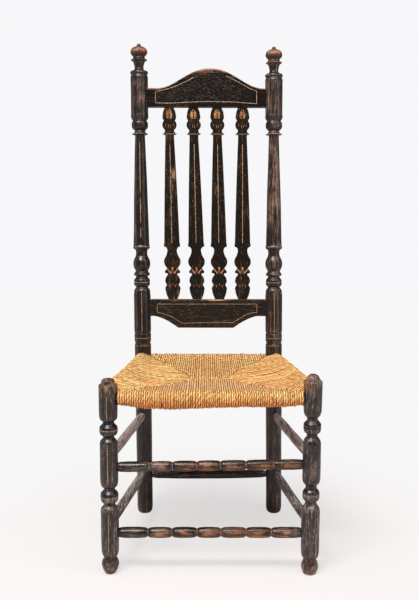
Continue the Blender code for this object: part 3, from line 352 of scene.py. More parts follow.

# Rear posts
# Two posts turned from the floor to a ball finial, raked to the rear and leaning a little to
# the left. They are painted like the legs, with gilt lines on the rings. The balls are rubbed
# to copper-brown wood, with a painted highlight in a band high on each, and the right post's
# column has a painted highlight on its front-right side.
RAKE = math.radians(2.50106)
LEAN = math.radians(0.49906)
POST_SIDES = 64
POST_GRAIN = (1.0, 1.0, 0.035)
POST_ROWS = (
    (0, 27, 0.14), (10, 37.2, 0.05), (22, 38.9), (200, 39.6), (400, 40.6), (431, 41), (433, 39.4),
    (435.4, 37.6), (436.6, 37.6), (439.2, 39.4, 0.06), (446, 41), (457.5, 41.2, 0.05), (460.4, 39.6),
    (461.4, 38.6), (462.4, 39.6, 0.05), (466, 41.6), (552, 41.8, 0.06), (561, 40.2, 0.12), (574.6, 32),
    (576.2, 29.8), (577.6, 30.2), (578.6, 32.6, 0.17), (588.2, 39), (588.9, 38.5), (589.6, 39, 0.17),
    (599.6, 31), (601.8, 29.2, -0.05), (604.4, 29.6), (605.6, 37), (606.6, 39.4, 0.1), (608, 39.2),
    (612.2, 37, -0.12), (616.8, 30.8), (618, 31.2, 0.16), (651.6, 31.8, -0.04), (658.4, 28.2, -0.06),
    (667.4, 29, -0.04), (670.6, 32.2), (671.4, 36.8, 0.1), (674.4, 40.4, 0.08), (678.6, 41.2), (680.6, 39.2),
    (684, 38.6, 0.0025), (943, 24.5), (948, 24.3), (950.4, 25.6), (951.7, 36.8), (952.5, 38.6, 0.2),
    (954.4, 38.4), (955.6, 31.2), (957.8, 28.2, -0.08), (960.8, 26.2), (962.4, 27.2), (963.2, 29.4, 0.15),
    (974.6, 40.4), (975.4, 39.8), (976.2, 40.4, 0.12), (984.2, 34.6), (985.6, 33.8), (986.8, 35.6, 0.13),
    (1000, 42), (1086, 42.2, 0.05), (1092.6, 41.2), (1094.6, 38.8), (1096.2, 38.6), (1097.2, 40, 0.32),
    (1104.4, 37.6), (1105.2, 33.4), (1107, 25.6, -0.1), (1110.4, 21.9), (1115, 21.7, -0.03), (1129, 30.4),
    (1129.5, 35.6), (1130.2, 38.6, 0.2), (1131.8, 39), (1133, 34), (1134.2, 31.4, -0.12), (1138.2, 28.2),
    (1140.4, 28.8), (1141.2, 31, 0.08), (1147.4, 40.4, 0.06), (1150.6, 41, 0.06), (1157.6, 36.2, 0.06),
    (1162.4, 18.4), (1163.6, 12.4, -0.05), (1165.6, 9.8), (1167.6, 9.2, 0.15), (1169.6, 6, 0.1), (1170, 0.5))
POST_GILT = {430.6: 0.45, 449.3: 0.75, 588.9: 0.75, 677.6: 0.85, 953.4: 0.12}


def leaned(points, foot_x):
    """Turned to the left by the back's lean, then moved to where its foot is across the back."""
    x, y, z = points[..., 0], points[..., 1], points[..., 2]
    return np.stack([x * math.cos(LEAN) - z * math.sin(LEAN) + foot_x, y,
                     x * math.sin(LEAN) + z * math.cos(LEAN)], axis=-1)


def raked(points):
    """Turned to the rear by the back's rake about the line between the posts' feet."""
    x, y, z = points[..., 0], points[..., 1], points[..., 2]
    return np.stack([x, y * math.cos(RAKE) + z * math.sin(RAKE) + FEET["left_rear_foot"][1],
                     z * math.cos(RAKE) - y * math.sin(RAKE)], axis=-1)


post_paint = painted_wood("black_paint_on_raked_posts", POST_GRAIN, "#857469", "#5b473c", "#30261f", "#15100d")
copper_brown = painted_wood("copper_brown_rubbed_and_highlit_balls", UPRIGHT_GRAIN, "#9a6238", "#6b4229", "#4c2d1b",
                            "#3a2114", gloss=(0.42, 0.52))
for side, drop, seed in (("left", 0, 21), ("right", 6, 22)):
    rows = [(up - (drop if up > 1050 else 0), *shape) for up, *shape in POST_ROWS]
    rings = turned(outline(rows, lines=tuple(POST_GILT)), POST_SIDES, seed)
    x, y, up = np.moveaxis(rings, -1, 0) / MM
    wear = 0.16 * slope(up, 40, 0) + bands(up, (953.4, 1100 - drop, 1130.5 - drop), 1.2, (0.45, 0.25, 0.25))
    if side == "left":
        wear = wear - 0.13 + 0.20 * hump(up, 1040, 42, 4)
    else:
        # The right post's column is lighter on its side that faces front and a little right: partly rubbed
        # wood, partly a painted highlight where the right-hand light is mirrored.
        rubbed_and_highlit_side = np.clip((0.4 * x - 0.9 * y) / np.hypot(x, y), 0, 1) ** 1.5
        wear = wear + (0.03 + 0.17 * rubbed_and_highlit_side) * slope(up, 690, 720) * slope(up, 940, 910)
        wear = wear + 0.09 * hump(up, 1040, 42, 4)
    gilding = bands(up, tuple(POST_GILT), 0.9, tuple(POST_GILT.values()))
    placed = raked(leaned(rings, FEET[side + "_rear_foot"][0]))
    placed[..., 2] = np.maximum(placed[..., 2], 0)
    neck = int(np.argmin(np.abs(up[:, 0] - 1139.6 + drop)))
    post = slice(0, neck + 1)
    skin("rear_post_turning_" + side, [placed[post]], post_paint, "black_paint", ["rear_post_" + side],
         wear=wear[post], gilding=gilding[post], warmth=0.30 * slope(up[post], 420, 480))
    ball = up[neck:] + drop
    # A band high on each ball is rubbed copper-brown wood with a painted highlight of the light from above on
    # it; the nub on top stays black.
    skin("rear_post_finial_ball_" + side, [placed[neck:]], copper_brown, "black_paint",
         wear=-0.15 + 0.52 * hump(ball, 1154, 6) - 0.5 * slope(ball, 1160, 1163))

# Front stretchers
# Two rungs turned into seven long swellings with a tight waist between each two. Shoes have
# rubbed the fronts of the swellings to bare ochre wood, and the waists are still black.
RUNG_SIDES = 48
ALONG_X_GRAIN = (0.09, 1.0, 1.0)
LEG_LINE = FEET["left_front_foot"][1] / MM
HALF_SPAN = FEET["right_front_foot"][0] / MM
# For each rung: its height at both ends, its width, where it is ochre, and its waists.
FRONT_RUNGS = {
    "lower": (90.5, 90.5, 22.9, 1.1, (-132.5, -81.4, -28.1, 23.0, 76.4, 129.7)),
    "upper": (235.0, 241.5, 22.0, 1.2, (-128.2, -79.8, -28.2, 21.3, 75.1, 133.0))}


def laid(rings, start, end):
    """Rings about z, with their heights measured from start, turned to lie on a line to end."""
    way = Vector(end) - Vector(start)
    turn = np.array(way.to_track_quat("Z", "Y").to_matrix())
    return rings @ turn.T + np.array(start)


def swelled_rows(places, widest, waist=16.0):
    """Barrels between the places of their waists, in mm, each with rounded ends and a long belly."""
    rows = []
    for start, end in zip(places[:-1], places[1:]):
        rows += [(start, waist), (start + 0.7, waist + 0.2), (start + 1.6, waist + 1.7, 0.07),
                 (start + 11, widest - 0.9, 0.02), ((start + end) / 2, widest, 0.02),
                 (end - 11, widest - 0.9, 0.07), (end - 1.6, waist + 1.7), (end - 0.7, waist + 0.2)]
    return rows + [(places[-1], waist)]


rung_paint = painted_wood("black_paint_rubbed_by_shoes", ALONG_X_GRAIN, "#96806f", "#56473f")
for seed, (level, (left_up, right_up, widest, warm, waists)) in enumerate(FRONT_RUNGS.items(), 31):
    places = [HALF_SPAN + x for x in (-196.5, *waists, 196.5)]
    rings = turned(outline(swelled_rows(places, widest), ease=0.35), RUNG_SIDES, seed, 0.08)
    placed = laid(rings, np.array([-HALF_SPAN, LEG_LINE, left_up]) * MM,
                  np.array([HALF_SPAN, LEG_LINE, right_up]) * MM)
    along = rings[..., 2] / MM
    middles = (np.array(places[:-1]) + np.array(places[1:])) / 2
    nearest = np.min([np.abs(along - middle) for middle in middles], axis=0)
    facing = slope(placed[..., 1] / MM, LEG_LINE, LEG_LINE - 11)
    wear = (0.24 * hump(nearest, 0, 15) + 0.05) * facing - 0.12 * slope(along, 85, 75)
    if level == "lower":
        wear = wear + 0.10 * hump(along, 1.48 * HALF_SPAN, 55) * facing
    skin("front_stretcher_turning_" + level, [placed], rung_paint, "worn_paint",
         ["front_stretcher_" + level], wear=wear, gilding=bands(along, places[1:-1], 0.8, 0.55),
         warmth=0.95 * np.clip((185 - np.abs(along - warm * HALF_SPAN)) / 70, 0.15, 1))

# Side and rear stretchers
# Plain round rungs, shaved rather than turned, and driven into sockets in the legs and posts.
# The four at the sides are lighter grey-brown along the top, partly rubbed and partly a painted highlight on
# their lit tops, and the rear one has kept its black.
ALONG_Y_GRAIN = (1.0, 0.035, 1.0)
SIDE_UP = {"lower": 107.5, "upper": 255.0}
SIDE_WEAR = {"lower": 0.02, "upper": 0.18}
side_paint = painted_wood("black_paint_on_side_rungs", ALONG_Y_GRAIN, "#b9afab", "#7d726d", "#453c38",
                          scratched=0.05)
rear_paint = painted_wood("black_paint_on_rear_rung", ALONG_X_GRAIN)


def shaved(start, end, seed, widest=20.2):
    """A bar from axis to axis, a little thinner at its ends, which run 3 mm into leg and post."""
    length = np.linalg.norm(end - start) / MM
    rows = [(15.5, 13.4), (21, 14.8, 0.03), (42, 19, 0.006), (length / 2, widest, 0.006),
            (length - 42, 19, 0.03), (length - 21, 14.8), (length - 17, 13.4)]
    return laid(turned(outline(rows, ease=1.2), RUNG_SIDES, seed, 0.22), start, end)


def on_post(side, up):
    """The point on a rear post's axis at a height in mm up the back."""
    return raked(np.array([FEET[side + "_rear_foot"][0] - math.tan(LEAN) * up * MM, 0.0, up * MM]))


for seed, (side, level) in enumerate([(side, level) for side in ("left", "right") for level in SIDE_UP], 41):
    start = FEET[side + "_front_foot"] + np.array([0, 0, SIDE_UP[level] * MM])
    end = on_post(side, SIDE_UP[level])
    placed = shaved(start, end, seed)
    # The top half of each side rung is lighter: rubbed wear together with a painted highlight where light falls
    # on it.
    lit_and_rubbed_top = slope(placed[..., 2] - np.mean([start[2], end[2]]), 0, 0.01)
    skin("side_stretcher_bar_" + side + "_" + level, [placed], side_paint, "worn_paint",
         ["side_stretcher_" + side + "_" + level],
         wear=SIDE_WEAR[level] + (0.12 if side == "left" else 0.0) + 0.20 * lit_and_rubbed_top)
skin("rear_stretcher_bar", [shaved(on_post("left", 96.6), on_post("right", 99.0), 45, 22.4)], rear_paint,
     "worn_paint", ["rear_stretcher"], wear=-0.04)

# Seat rails and pegs
# The four rails hidden in the rush and the four pegs behind the back are unpainted hardwood,
# split and shaved. They keep their CAD shapes: only peg heads and rail ends can be seen.
bare_wood, tree, shader, place = surface("bare_shaved_hardwood")
pores = noise(tree, place, 700, 4, 0.65)
feed(shader, {"Base Color": cover(tree, pores, linear("#4a3222"), "#8f6a45"), "Roughness": 0.62,
              "Normal": bump(tree, 0.4, 0.0004, pores)})
for name, solid in frame["nodes"].items():
    if "seat_rail_" in name or "_peg_" in name:
        for held in solid.material_slots:
            held.material = bare_wood

# Crest rail and stay rail
# Two boards 19 mm thick, sawn to shape and tenoned into the posts. The crest rail rises in an
# ogee, and its upper arris is rubbed to orange-brown wood. The stay rail drops in a flat step.
RAIL_THICKNESS = 19.0
ARRIS = 1.3
STAY_TOP, CREST_FOOT = 546.0, 1017.8


def crest_edges(x):
    """The crest rail's foot and top at x, in mm: the top is a raised cosine of the run from its peak."""
    run = np.clip(np.abs(x + 1.1) / 129, 0, 1) ** 1.12
    return CREST_FOOT + 0 * x, 1062.8 + 47.2 * (1 + np.cos(np.pi * run)) / 2


def stay_edges(x):
    """The stay rail's foot and top at x, in mm: the foot falls from its ends as run to the power 1.55."""
    run = np.clip((130.0 - np.abs(x + 10.1)) / 61, 0, 1)
    return 504.5 - 29.5 * run ** 1.55, STAY_TOP + 0 * x


def sawn_rail(edges, across, seed):
    """Rings round a board at each x across: a rectangle from foot to top with rounded corners.

    The rounding grows and shrinks by slow random waves along the board, and the faces rise and
    fall a little with it. Returns the rings in the upright back, and in mm each point's place
    across the back, how far it is below the top and how far above the foot.
    """
    corner = np.radians(np.linspace(0, 90, 5))
    face = np.linspace(0, 1, 26)[1:-1]
    edge = np.linspace(-1, 1, 7)[1:-1]
    sine, cosine = np.sin(corner), np.cos(corner)
    # Going round: share of height, side of thickness, and the corner's offsets outwards and up.
    stretches = ((0 * corner, -1, sine, -cosine), (face, -1, 1, 0), (1 + 0 * corner, -1, cosine, sine),
                 (1 + 0 * edge, edge, 0, 1), (1 + 0 * corner, 1, sine, cosine), (face[::-1], 1, 1, 0),
                 (0 * corner, 1, cosine, -sine), (0 * edge, -edge, 0, -1))
    share, side, out, up = np.concatenate([np.stack(np.broadcast_arrays(*one)) for one in stretches], axis=1)
    foot, top = (value[:, None] for value in edges(across))
    draw = np.random.default_rng(seed)
    chips = sum(draw.normal() * np.cos(across[:, None] / draw.uniform(1.5, 14) + draw.uniform(0, 6))
                for _ in range(10)) / 3
    rounding = ARRIS * (1 + 0.3 * chips)
    z = foot + rounding + (top - foot - 2 * rounding) * share + rounding * up
    y = side * (RAIL_THICKNESS / 2 - rounding + (np.abs(side) == 1) * (rounding * out + 0.12 * chips))
    x = across[:, None] + 0 * y
    return np.stack([x, y, z], axis=-1) * MM, x, top - z, z - foot


crest_paint = painted_wood("crazed_black_paint_on_crest_board", (0.05, 1.0, 1.0), "#84532f", "#4d3322",
                           "#2a1a10", "#0b0503", 0.08, 0.45, fineness=1150, gloss=(0.15, 0.36))
stay_paint = painted_wood("black_paint_on_stay_board", ALONG_X_GRAIN, "#b09078", "#694320", "#3b2714",
                          "#150d07", scratched=0.04, fineness=620)
across = np.arange(-148, 149, 2.0)
rings, x, below, above = sawn_rail(crest_edges, across - 9.06, 51)
wear = 0.66 * hump(below, 0, 1.9) + 0.08 * hump(above, 0, 2.5) + 0.12 * hump(below, 0, 9) - 0.28
wear = wear + 0.16 * hump(x, -115, 38) + 0.42 * hump(below, 0, 12) * hump(x, -6, 38, 4)
plain = np.clip(slope(np.abs(x + 8), 80, 130) + slope(below, 16, 8) + slope(above, 12, 6), 0, 1)
skin("crest_rail_board", [raked(rings)], crest_paint, "black_paint", ["crest_rail"], wear=wear, plain=plain)
rings, x, below, above = sawn_rail(stay_edges, across - 4.57, 52)
wear = 0.22 * hump(above, 0, 2.5) + 0.56 * hump(below, 0, 4.5) * hump(x, 15, 32) - 0.20
wear = wear + 0.16 * hump(below, 0, 4)
skin("stay_rail_board", [raked(rings)], stay_paint, "black_paint", ["stay_rail"], wear=wear)

# Banisters
# Four split turnings: two halves were glued, turned as one to the posts' pattern, and parted, so
# each is flat in front and half round behind. Half-round tenons hold them in both rails.
BANISTER_FEET = (-91.99, -31.75, 23.88, 81.49)
BANISTER_HEADS = (-101.04, -41.79, 16.15, 78.37)
BANISTER_FACE = -6.0
FLANGE = 953.3
BANISTER_ROWS = (
    (542, 20), (546, 22.4), (549, 24, 0.05), (570.5, 37, 0.14), (577.6, 35.4), (582, 30.6), (583.4, 29.8),
    (584.6, 31.6, 0.15), (598, 35.2, 0.09), (603.4, 30.4, 0.05), (606, 25.6, -0.06), (608.6, 23.8),
    (610.4, 24.8), (611.6, 34), (612.8, 38, 0.15), (615, 38.2), (618, 36.4, -0.12), (622.8, 29.6, -0.1),
    (625, 27.8), (626.2, 29.4), (627.4, 31.8, 0.17), (650.6, 35.2, -0.05), (658, 28), (663, 24.8, -0.04),
    (669.6, 24.2, -0.03), (673.6, 26.6, -0.08), (676.4, 33.4), (677.6, 39, 0.1), (679.6, 40.4, 0.05),
    (684.4, 39.8), (686.6, 38.2), (702, 37.4, 0.002), (943, 21.7), (948, 21.6), (950.6, 22.4), (951.6, 31.6),
    (952.4, 34.4, 0.2), (954.1, 34.2), (955.2, 27.8), (957.4, 25, -0.06), (961.4, 22.4), (963, 23.8),
    (964.2, 26, 0.18), (983, 30.6), (984.6, 27.6), (985.8, 27.8), (987.2, 29.4, 0.12), (999.4, 32.2, 0.06),
    (1013.8, 24.4, 0.02), (1020, 21))


def split(line):
    """Half turnings: a flat front from one side to the other at y = 0, and a half circle behind."""
    radius, height = line[:, :1], line[:, 1:]
    turn = np.radians(np.linspace(4, 176, 30))[None, :]
    front = np.linspace(-0.965, 0.965, 12)[None, :]
    x = np.concatenate([radius * np.cos(turn), radius * front], axis=1)
    y = np.concatenate([radius * np.sin(turn), 0 * radius * front], axis=1)
    return np.stack([x, y, height + 0 * x], axis=-1)


def stood(points, number):
    """Stood between the rails, foot and head each at its own place across the back."""
    share = (points[..., 2] / MM - STAY_TOP) / (CREST_FOOT - STAY_TOP)
    middle = BANISTER_FEET[number] + (BANISTER_HEADS[number] - BANISTER_FEET[number]) * share
    return points + np.stack([middle * MM, BANISTER_FACE * MM + 0 * middle, 0 * middle], axis=-1)


banister_paint = painted_wood("black_paint_on_split_turnings", UPRIGHT_GRAIN, RUBBED_WOOD, "#573b20", "#332210",
                              "#110903", scratched=0.03, fineness=600, gloss=(0.20, 0.42))
rings = split(outline(BANISTER_ROWS, ease=0.35, lines=(FLANGE,)))
x, _, up = np.moveaxis(rings, -1, 0) / MM
gilding = bands(up, (FLANGE,), 1.0, 0.55)
for number in range(4):
    wear = -0.29 + 0.09 * slope(np.abs(up - 795), 150, 154) + 0.10 * hump(up, 820, 70)
    if number == 0:
        wear = wear + 0.10 + 0.22 * hump(up, 858, 15) * hump(x, 6, 5)
    skin("banister_split_turning_" + str(number + 1), [raked(stood(rings, number))], banister_paint,
         "black_paint", ["banister_" + str(number + 1)], wear=wear, gilding=gilding)

# Gilt striping
# Thin lines of bronze-gold paint drawn with a long brush on the faces that look forward, with
# leaves and short strokes on the banisters. Much of it is worn away, so the lines come in dashes.
RAIL_FACE = -RAIL_THICKNESS / 2 - 0.22
FLAT_FACE = -0.1


def striping_paint(name, dull, mid, bright):
    """Bronze powder in varnish: patches of 5 mm from mid to bright, with dull flecks of 2 mm."""
    finish, tree, shader, place = surface(name)
    flecks, tints = noise(tree, place, 520, 3, 0.6), noise(tree, place, 190, 2)
    colour = cover(tree, ramp(tree, tints, 0.40, 0.60, kind="LINEAR"), linear(mid), bright)
    colour = cover(tree, ramp(tree, flecks, 0.50, 0.34, kind="LINEAR"), colour, dull)
    feed(shader, {"Base Color": colour, "Roughness": 0.45})
    return finish


def brushed(path, width):
    """Rings along a path on a face that looks along -y: a low rounded strip `width` mm across.

    Each ring is six points: the two edges just under the face, a crown 0.08 mm proud, and a
    back inside the wood.
    """
    way = np.gradient(path, axis=0)[:, [0, 2]]
    way = way / np.maximum(np.hypot(*way.T), 1e-9)[:, None]
    aside = np.stack([way[:, 1], 0 * way[:, 0], -way[:, 0]], axis=1)
    sideways = np.array([-0.5, -0.3, 0.3, 0.5, 0.3, -0.3])
    rings = path[:, None, :] + aside[:, None, :] * (sideways * width[:, None])[..., None]
    rings[..., 1] += np.array([0.02, -0.08, -0.08, 0.02, 0.12, 0.12])
    return rings


def worn_line(corners, face, width, seed, loss):
    """A striped line through corners (x, z) in mm at depth `face`, broken where it is worn.

    Its width is scaled by a slow random wave; where the wave falls under `loss` the line stops,
    and both ends of each dash taper. Lines are drawn in steps of 0.9 mm.
    """
    corners = np.array(corners, float)
    run = np.concatenate([[0], np.cumsum(np.hypot(*np.diff(corners, axis=0).T))])
    at = np.arange(0, run[-1] + 0.9, 0.9)
    x, z = (np.interp(at, run, corners[:, k]) for k in (0, 1))
    draw = np.random.default_rng(seed)
    rough = np.convolve(draw.uniform(0, 1, len(at) + 4), np.ones(5) / 5, mode="valid")
    knots = max(int(run[-1] / 14), 2)
    slow = np.interp(at, np.linspace(0, run[-1], knots), draw.uniform(0, 1, knots))
    strength = 0.55 * rough + 0.45 * slow
    path = np.stack([x, face(x, z) if callable(face) else face + 0 * x, z], axis=1)
    wide = width * (0.65 + 0.6 * strength)
    kept = np.flatnonzero(strength > loss)
    dashes = []
    for dash in np.split(kept, np.flatnonzero(np.diff(kept) > 1) + 1):
        if len(dash) > 2:
            from_end = np.minimum(np.arange(len(dash)), np.arange(len(dash))[::-1])
            dashes.append(brushed(path[dash], wide[dash] * np.minimum(1, 0.3 + 0.7 * from_end / 1.5)) * MM)
    return dashes


def striped(lines, face, first_seed):
    """The dashes of all the lines on a piece, each line with a random seed of its own."""
    return [dash for seed, (corners, width, loss) in enumerate(lines, first_seed)
            for dash in worn_line(corners, face, width, seed, loss)]


def front_of(rows):
    """The depth of a turned piece's foremost line at a height, in mm: minus its radius there."""
    line = outline(rows) / MM
    return lambda x, z: -np.interp(z, line[:, 1], line[:, 0]) - 0.05


def stroke(start, end, widest, bend=0.0):
    """One touch of the brush from start to end (x, z) in mm, widest in the middle and bent aside."""
    share = np.linspace(0, 1, 9)[:, None]
    start, end = np.array(start, float), np.array(end, float)
    way = end - start
    path = start + way * share + np.array([way[1], -way[0]]) * bend * 4 * share * (1 - share)
    width = widest * np.sin(np.pi * (0.06 + 0.88 * share[:, 0])) ** 0.7
    return brushed(np.stack([path[:, 0], FLAT_FACE + 0 * path[:, 0], path[:, 1]], axis=1), width) * MM


def mirrored(touches):
    """Touches of the brush, each drawn on the left and on the right of a banister's middle."""
    return [stroke((side * start[0], start[1]), (side * end[0], end[1]), widest, bend * side)
            for side in (-1, 1) for start, end, widest, bend in touches]


gold_paint = striping_paint("bronze_gold_striping_paint", "#5a3a24", "#a5713c", "#c49a70")
red_paint = striping_paint("vermilion_touches", "#2c1511", "#6b2c1e", "#93452d")
leaf_paint = striping_paint("bronze_leaf_paint", "#4a2811", "#7f4a1e", "#c9914f")
pale_paint = striping_paint("pale_bronze_lining_paint", "#55402e", "#8f6e50", "#b59778")
# For each piece its lines, and for each line its corners, its width and how much of it is lost.
LINES = {
    "crest_rail": (
        ([(-134.1, 1054.6), (-134.2, 1027.1)], 1.3, 0.12), ([(112.5, 1056.6), (112.7, 1025.7)], 1.3, 0.12),
        ([(-134.2, 1027.1), (-98.6, 1026.6), (-60, 1028.8), (-25.4, 1030.2), (11.1, 1030.8), (59.9, 1029.6),
          (90, 1027.3), (112.7, 1025.7)], 1.3, 0.02),
        ([(-134.1, 1054.4), (-118, 1056.8), (-98.5, 1062.3), (-79, 1069.6), (-59.6, 1078.4), (-44, 1086.4)],
         1.1, 0.12),
        ([(-44, 1086.4), (-20, 1097.4), (0, 1102), (20, 1098.6), (37, 1092)], 0.9, 0.58),
        ([(37, 1092), (45, 1089), (62.1, 1080.7), (79.2, 1071.2), (96.3, 1061.7), (105, 1058.2),
          (112.4, 1056.5)], 1.2, 0.04)),
    "stay_rail": (
        ([(-131.3, 534.6), (-60, 534.6), (0, 534.6), (60, 534.8), (116.8, 534.9)], 1.0, 0.12),
        ([(-131.3, 534.6), (-131.4, 514.2), (-118.4, 510.9), (-105, 507), (-92.7, 501.5), (-81, 493.8),
          (-69.8, 486.4), (-40, 487.6), (0, 488.6), (57.9, 488.6), (74, 498.4), (90.8, 508.6), (104, 512.4),
          (117, 514.1), (116.8, 534.9)], 1.1, 0.10)),
    "rear_post_left": (([(0, 466), (0, 564)], 1.2, 0.2), ([(0, 698), (0, 934)], 1.1, 0.30)),
    "rear_post_right": (([(0, 466), (0, 560)], 1.1, 0.22),),
    "front_leg_left": (([(-1, 46), (-1, 134)], 1.2, 0.22), ([(-1, 202), (-1, 289)], 1.2, 0.20),
                       ([(-1, 338), (-1, 391)], 1.2, 0.16)),
    "front_leg_right": (([(0.6, 52), (0.6, 132)], 1.2, 0.60), ([(0.6, 212), (0.6, 286)], 1.2, 0.52))}
for rail, first_seed in (("crest_rail", 61), ("stay_rail", 71)):
    dashes = striped(LINES[rail], RAIL_FACE, first_seed)
    skin(rail + "_striping", [raked(dash) for dash in dashes], pale_paint, "black_paint")
for side in ("left", "right"):
    dashes = striped(LINES["rear_post_" + side], front_of(POST_ROWS), 81)
    skin("rear_post_striping_" + side, [raked(leaned(dash, FEET[side + "_rear_foot"][0])) for dash in dashes],
         gold_paint, "black_paint")
for side in ("left", "right"):
    dashes = striped(LINES["front_leg_" + side], front_of(LEG_ROWS[side]), 91)
    skin("front_leg_striping_" + side, [dash + FEET[side + "_front_foot"] for dash in dashes],
         gold_paint, "worn_paint")
leaves = mirrored([((0.5, 1011.8), (4.4, 990.0), 2.3, -0.15), ((1.0, 1006.6), (2.0, 989.6), 2.1, -0.09)])
leaves.append(stroke((0.0, 627.5), (0.0, 617.5), 5.0))
gilt = mirrored([((3.0, 975.4), (2.2, 967.8), 0.7, 0.05), ((10.4, 978.6), (9.2, 970.2), 0.5, 0.10),
                 ((14.2, 625.2), (3.2, 612.6), 2.3, -0.08), ((9.6, 619.4), (4.4, 610.4), 1.7, -0.06),
                 ((6.8, 583.4), (7.0, 575.8), 0.9, 0.04)])
gilt.append(stroke((0.3, 586.4), (0.2, 579.2), 0.8))
red = mirrored([((1.8, 619.8), (3.6, 608.4), 2.2, -0.05), ((9.8, 585.2), (10.4, 578.6), 0.8, 0.04)])
red += [stroke((0.0, 1007.6), (0.0, 994.0), 1.5), stroke((0.0, 621.5), (0.0, 611.0), 2.4)]
for number in range(4):
    lining = worn_line([(0.0, 686.5), (0.0, 928.0)], FLAT_FACE, 1.4, 101 + number, 0.22 - 0.03 * number)
    for kind, parts, paint in (("gilding", gilt, gold_paint), ("red_touches", red, red_paint),
                               ("leaves", leaves, leaf_paint),
                               ("lining", lining, gold_paint if number == 3 else pale_paint)):
        skin("banister_" + kind + "_" + str(number + 1), [raked(stood(part, number)) for part in parts],
             paint, "black_paint")

# Rush seat
# Cords of twisted cattail leaf, about 4.7 mm across, wrapped over one rail, up through the
# middle and over the next, so that four fields of parallel cords meet in mitred seams. Each
# field is one closed bolster here, ridged by its cords, over the stuffing and round its rail.
CORD_PITCH = 4.7
ROLL_RADIUS = 17.5
SEAT_SAG = 10.0
SAG_SPREAD = 50.0
MIDDLE_THICKNESS = 27.0
ROLL_FALL = 1.8
DEPTH = 329.4
RAIL_HEIGHT = {"front": 382.5, "side": 396.0, "rear": 391.0}
CORNERS = {
    "front_left": np.array([-213.3, LEG_LINE]), "front_right": np.array([213.3, LEG_LINE]),
    "rear_left": on_post("left", 391.0)[:2] / MM, "rear_right": on_post("right", 391.0)[:2] / MM}


def weave(x, y):
    """The middle height of the weave and its half thickness at a place in plan, all in mm.

    Each rail pulls the height towards its own with a weight of one over its distance squared,
    against a constant pull to the sagging middle. The half thickness is the roll's radius over
    a rail and eases by a raised cosine to the middle's.
    """
    back = (y - LEG_LINE) / (CORNERS["rear_left"][1] - LEG_LINE)
    left, right = (front + (rear - front) * back for front, rear in (
        (CORNERS["front_" + side][0], CORNERS["rear_" + side][0]) for side in ("left", "right")))
    width = right - left
    across = (x - left) / width
    total = np.ones_like(x) / SAG_SPREAD ** 2
    height = (RAIL_HEIGHT["front"] - SEAT_SAG) * total
    for distance, rail in ((back * DEPTH, "front"), ((1 - back) * DEPTH, "rear"), (across * width, "side"),
                           ((1 - across) * width, "side")):
        pull = 1 / (np.maximum(distance, 0) + ROLL_RADIUS / 4) ** 2
        total = total + pull
        height = height + pull * RAIL_HEIGHT[rail]
    inside = np.minimum(np.minimum(back, 1 - back) * DEPTH, np.minimum(across, 1 - across) * width)
    ease = (1 + np.cos(np.pi * slope(inside, 0, ROLL_FALL * ROLL_RADIUS))) / 2
    middle = MIDDLE_THICKNESS / 2
    return height / total, middle + (ROLL_RADIUS - middle) * ease


